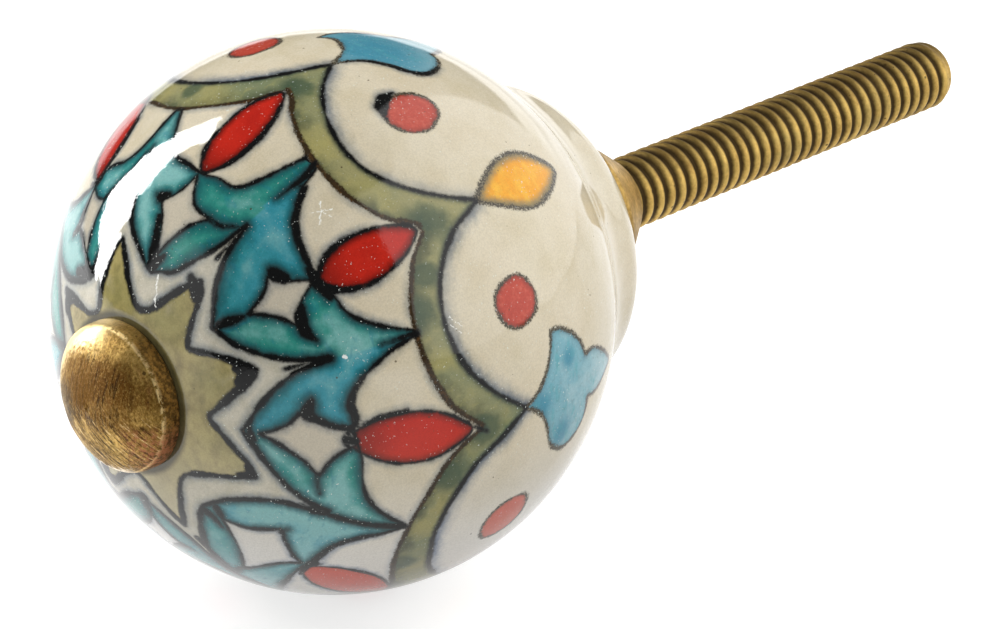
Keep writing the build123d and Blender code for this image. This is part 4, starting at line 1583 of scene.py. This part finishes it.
def strip_material(strength):
    """Plain light for the narrow panel."""
    material, _, surface = new_material("strip_light")
    surface.inputs["Base Color"].default_value = (0, 0, 0, 1)
    surface.inputs["Specular IOR Level"].default_value = 0.0
    surface.inputs["Emission Color"].default_value = (1, 1, 1, 1)
    surface.inputs["Emission Strength"].default_value = strength
    return material


def pale_room(stage):
    """A white world whose lit walls are mirrored in the glaze and the metal."""
    world = bpy.data.worlds.new("pale_room")
    world.use_nodes = True
    world.node_tree.nodes.clear()
    board = Board(world.node_tree)
    rays = board.add("ShaderNodeLightPath")
    direction = board.add("ShaderNodeTexCoord").outputs["Generated"]
    across, ahead, up = board.add("ShaderNodeSeparateXYZ", {"Vector": direction}).outputs
    turn = board.math("DEGREES", board.math("ARCTAN2", across, ahead))
    rise = board.math("DEGREES", board.math("ARCSINE", up))

    def wall(left, right, low, high, level, soft=3.0, lean=0.0, slope=0.0):
        """A lit wall between two bearings from +Y towards +X and two heights, in degrees."""
        right_edge = board.math("MULTIPLY_ADD", rise, -lean, turn)
        top_edge = board.math("MULTIPLY_ADD", turn, -slope, rise)
        wide = board.math("MULTIPLY", board.step(turn, left - soft, left + soft),
                          board.step(right_edge, right + soft, right - soft))
        tall = board.math("MULTIPLY", board.step(rise, low - soft, low + soft),
                          board.step(top_edge, high + soft, high - soft))
        return board.math("MULTIPLY", board.math("MULTIPLY", wide, tall), level)

    room = wall(-14, 95, -20, 69, stage.right_wall, soft=1.5, lean=0.18)
    room = board.math("ADD", room, wall(-177, -139, -10, 34, stage.left_wall))
    room = board.math("ADD", room, wall(-101, -14, -20, 11.6, stage.back_wall, soft=2.0, slope=0.17))
    seen = board.math("ADD", room, 0.07)
    lit = board.math("MULTIPLY_ADD", room, 0.6, stage.ambient)
    strength = board.add("ShaderNodeMix", {0: mirrored_rays(board, rays), 2: lit, 3: seen}, data_type="FLOAT")
    strength = board.math("MAXIMUM", strength.outputs[0], rays.outputs["Is Camera Ray"])
    sky = board.add("ShaderNodeBackground", {"Color": (1, 1, 1), "Strength": strength})
    output = board.add("ShaderNodeOutputWorld")
    world.node_tree.links.new(sky.outputs[0], output.inputs[0])
    return world


def front_camera(lens):
    """The camera, in front of the cap, on its right and a little above."""
    data = bpy.data.cameras.new("camera")
    data.lens = lens
    data.sensor_width = 36
    data.clip_start, data.clip_end = 0.01, 10
    camera = bpy.data.objects.new("camera", data)
    right = Vector(CAMERA_RIGHT).normalized()
    forward = Vector(CAMERA_FORWARD).normalized()
    turn = Matrix((right, right.cross(forward), -forward)).transposed()
    camera.matrix_world = Matrix.Translation(CAMERA_PLACE) @ turn.to_4x4()
    bpy.context.scene.collection.objects.link(camera)
    return camera


class KNOB_OT_stage(bpy.types.Operator):
    """Build the floor, lamps, world and camera"""

    bl_idname = "knob.stage"
    bl_label = "Stage"

    def execute(self, context):
        scene = context.scene
        stage = scene.knob_stage
        reach, low = FLOOR_REACH, -scene.knob_sizes.ball_diameter / 2
        corners = [(-reach, -reach, low), (reach, -reach, low), (reach, reach, low), (-reach, reach, low)]
        flat_piece("floor", corners, floor_material(stage.floor))
        lamp("key_lamp", (0.5, 0.5), stage.key_watts, (0.27, 0.34, 0.42))
        lamp("fill_lamp", (0.5, 0.4), stage.fill_watts, (0.35, -0.45, 0.06))

        # The narrow panel on the left shows as a bright streak in the glaze
        corners = [(STRIP_X, y, z) for y, z in STRIP_CORNERS]
        strip = flat_piece("strip_panel", corners, strip_material(stage.strip_level))
        strip.visible_camera = False
        strip.visible_shadow = False

        scene.world = pale_room(stage)
        scene.view_settings.view_transform = "Standard"
        scene.camera = front_camera(stage.lens)
        return {"FINISHED"}


class KNOB_PT_panel(bpy.types.Panel):
    """Sizes, colours and pieces of the knob"""

    bl_idname = "KNOB_PT_panel"
    bl_label = "Painted Cabinet Knob"
    bl_space_type = "VIEW_3D"
    bl_region_type = "UI"
    bl_category = "Knob"

    def draw(self, context):
        scene = context.scene
        for label, group in (("Sizes", scene.knob_sizes), ("Paints", scene.knob_paints),
                             ("Brass", scene.knob_brass), ("Stage", scene.knob_stage)):
            box = self.layout.box()
            box.label(text=label)
            for name in group.__annotations__:
                box.prop(group, name)
        for step in STEPS:
            self.layout.operator(step.bl_idname)


STEPS = (KNOB_OT_stage, KNOB_OT_ceramic_body, KNOB_OT_front_cap, KNOB_OT_cone_nut, KNOB_OT_threaded_stud)
GROUPS = {
    "knob_sizes": KnobSizes,
    "knob_paints": KnobPaints,
    "knob_brass": KnobBrass,
    "knob_stage": KnobStage,
}


def register():
    for kind in (*GROUPS.values(), *STEPS, KNOB_PT_panel):
        bpy.utils.register_class(kind)
    for name, kind in GROUPS.items():
        setattr(bpy.types.Scene, name, bpy.props.PointerProperty(type=kind))


def unregister():
    for name in GROUPS:
        delattr(bpy.types.Scene, name)
    for kind in reversed((*GROUPS.values(), *STEPS, KNOB_PT_panel)):
        bpy.utils.unregister_class(kind)


def main():
    """Builds the knob and its stage."""
    register()
    bpy.ops.knob.stage()
    bpy.ops.knob.ceramic_body()
    bpy.ops.knob.front_cap()
    bpy.ops.knob.cone_nut()
    bpy.ops.knob.threaded_stud()
    bpy.context.view_layer.update()


if __name__ == "__main__":
    main()
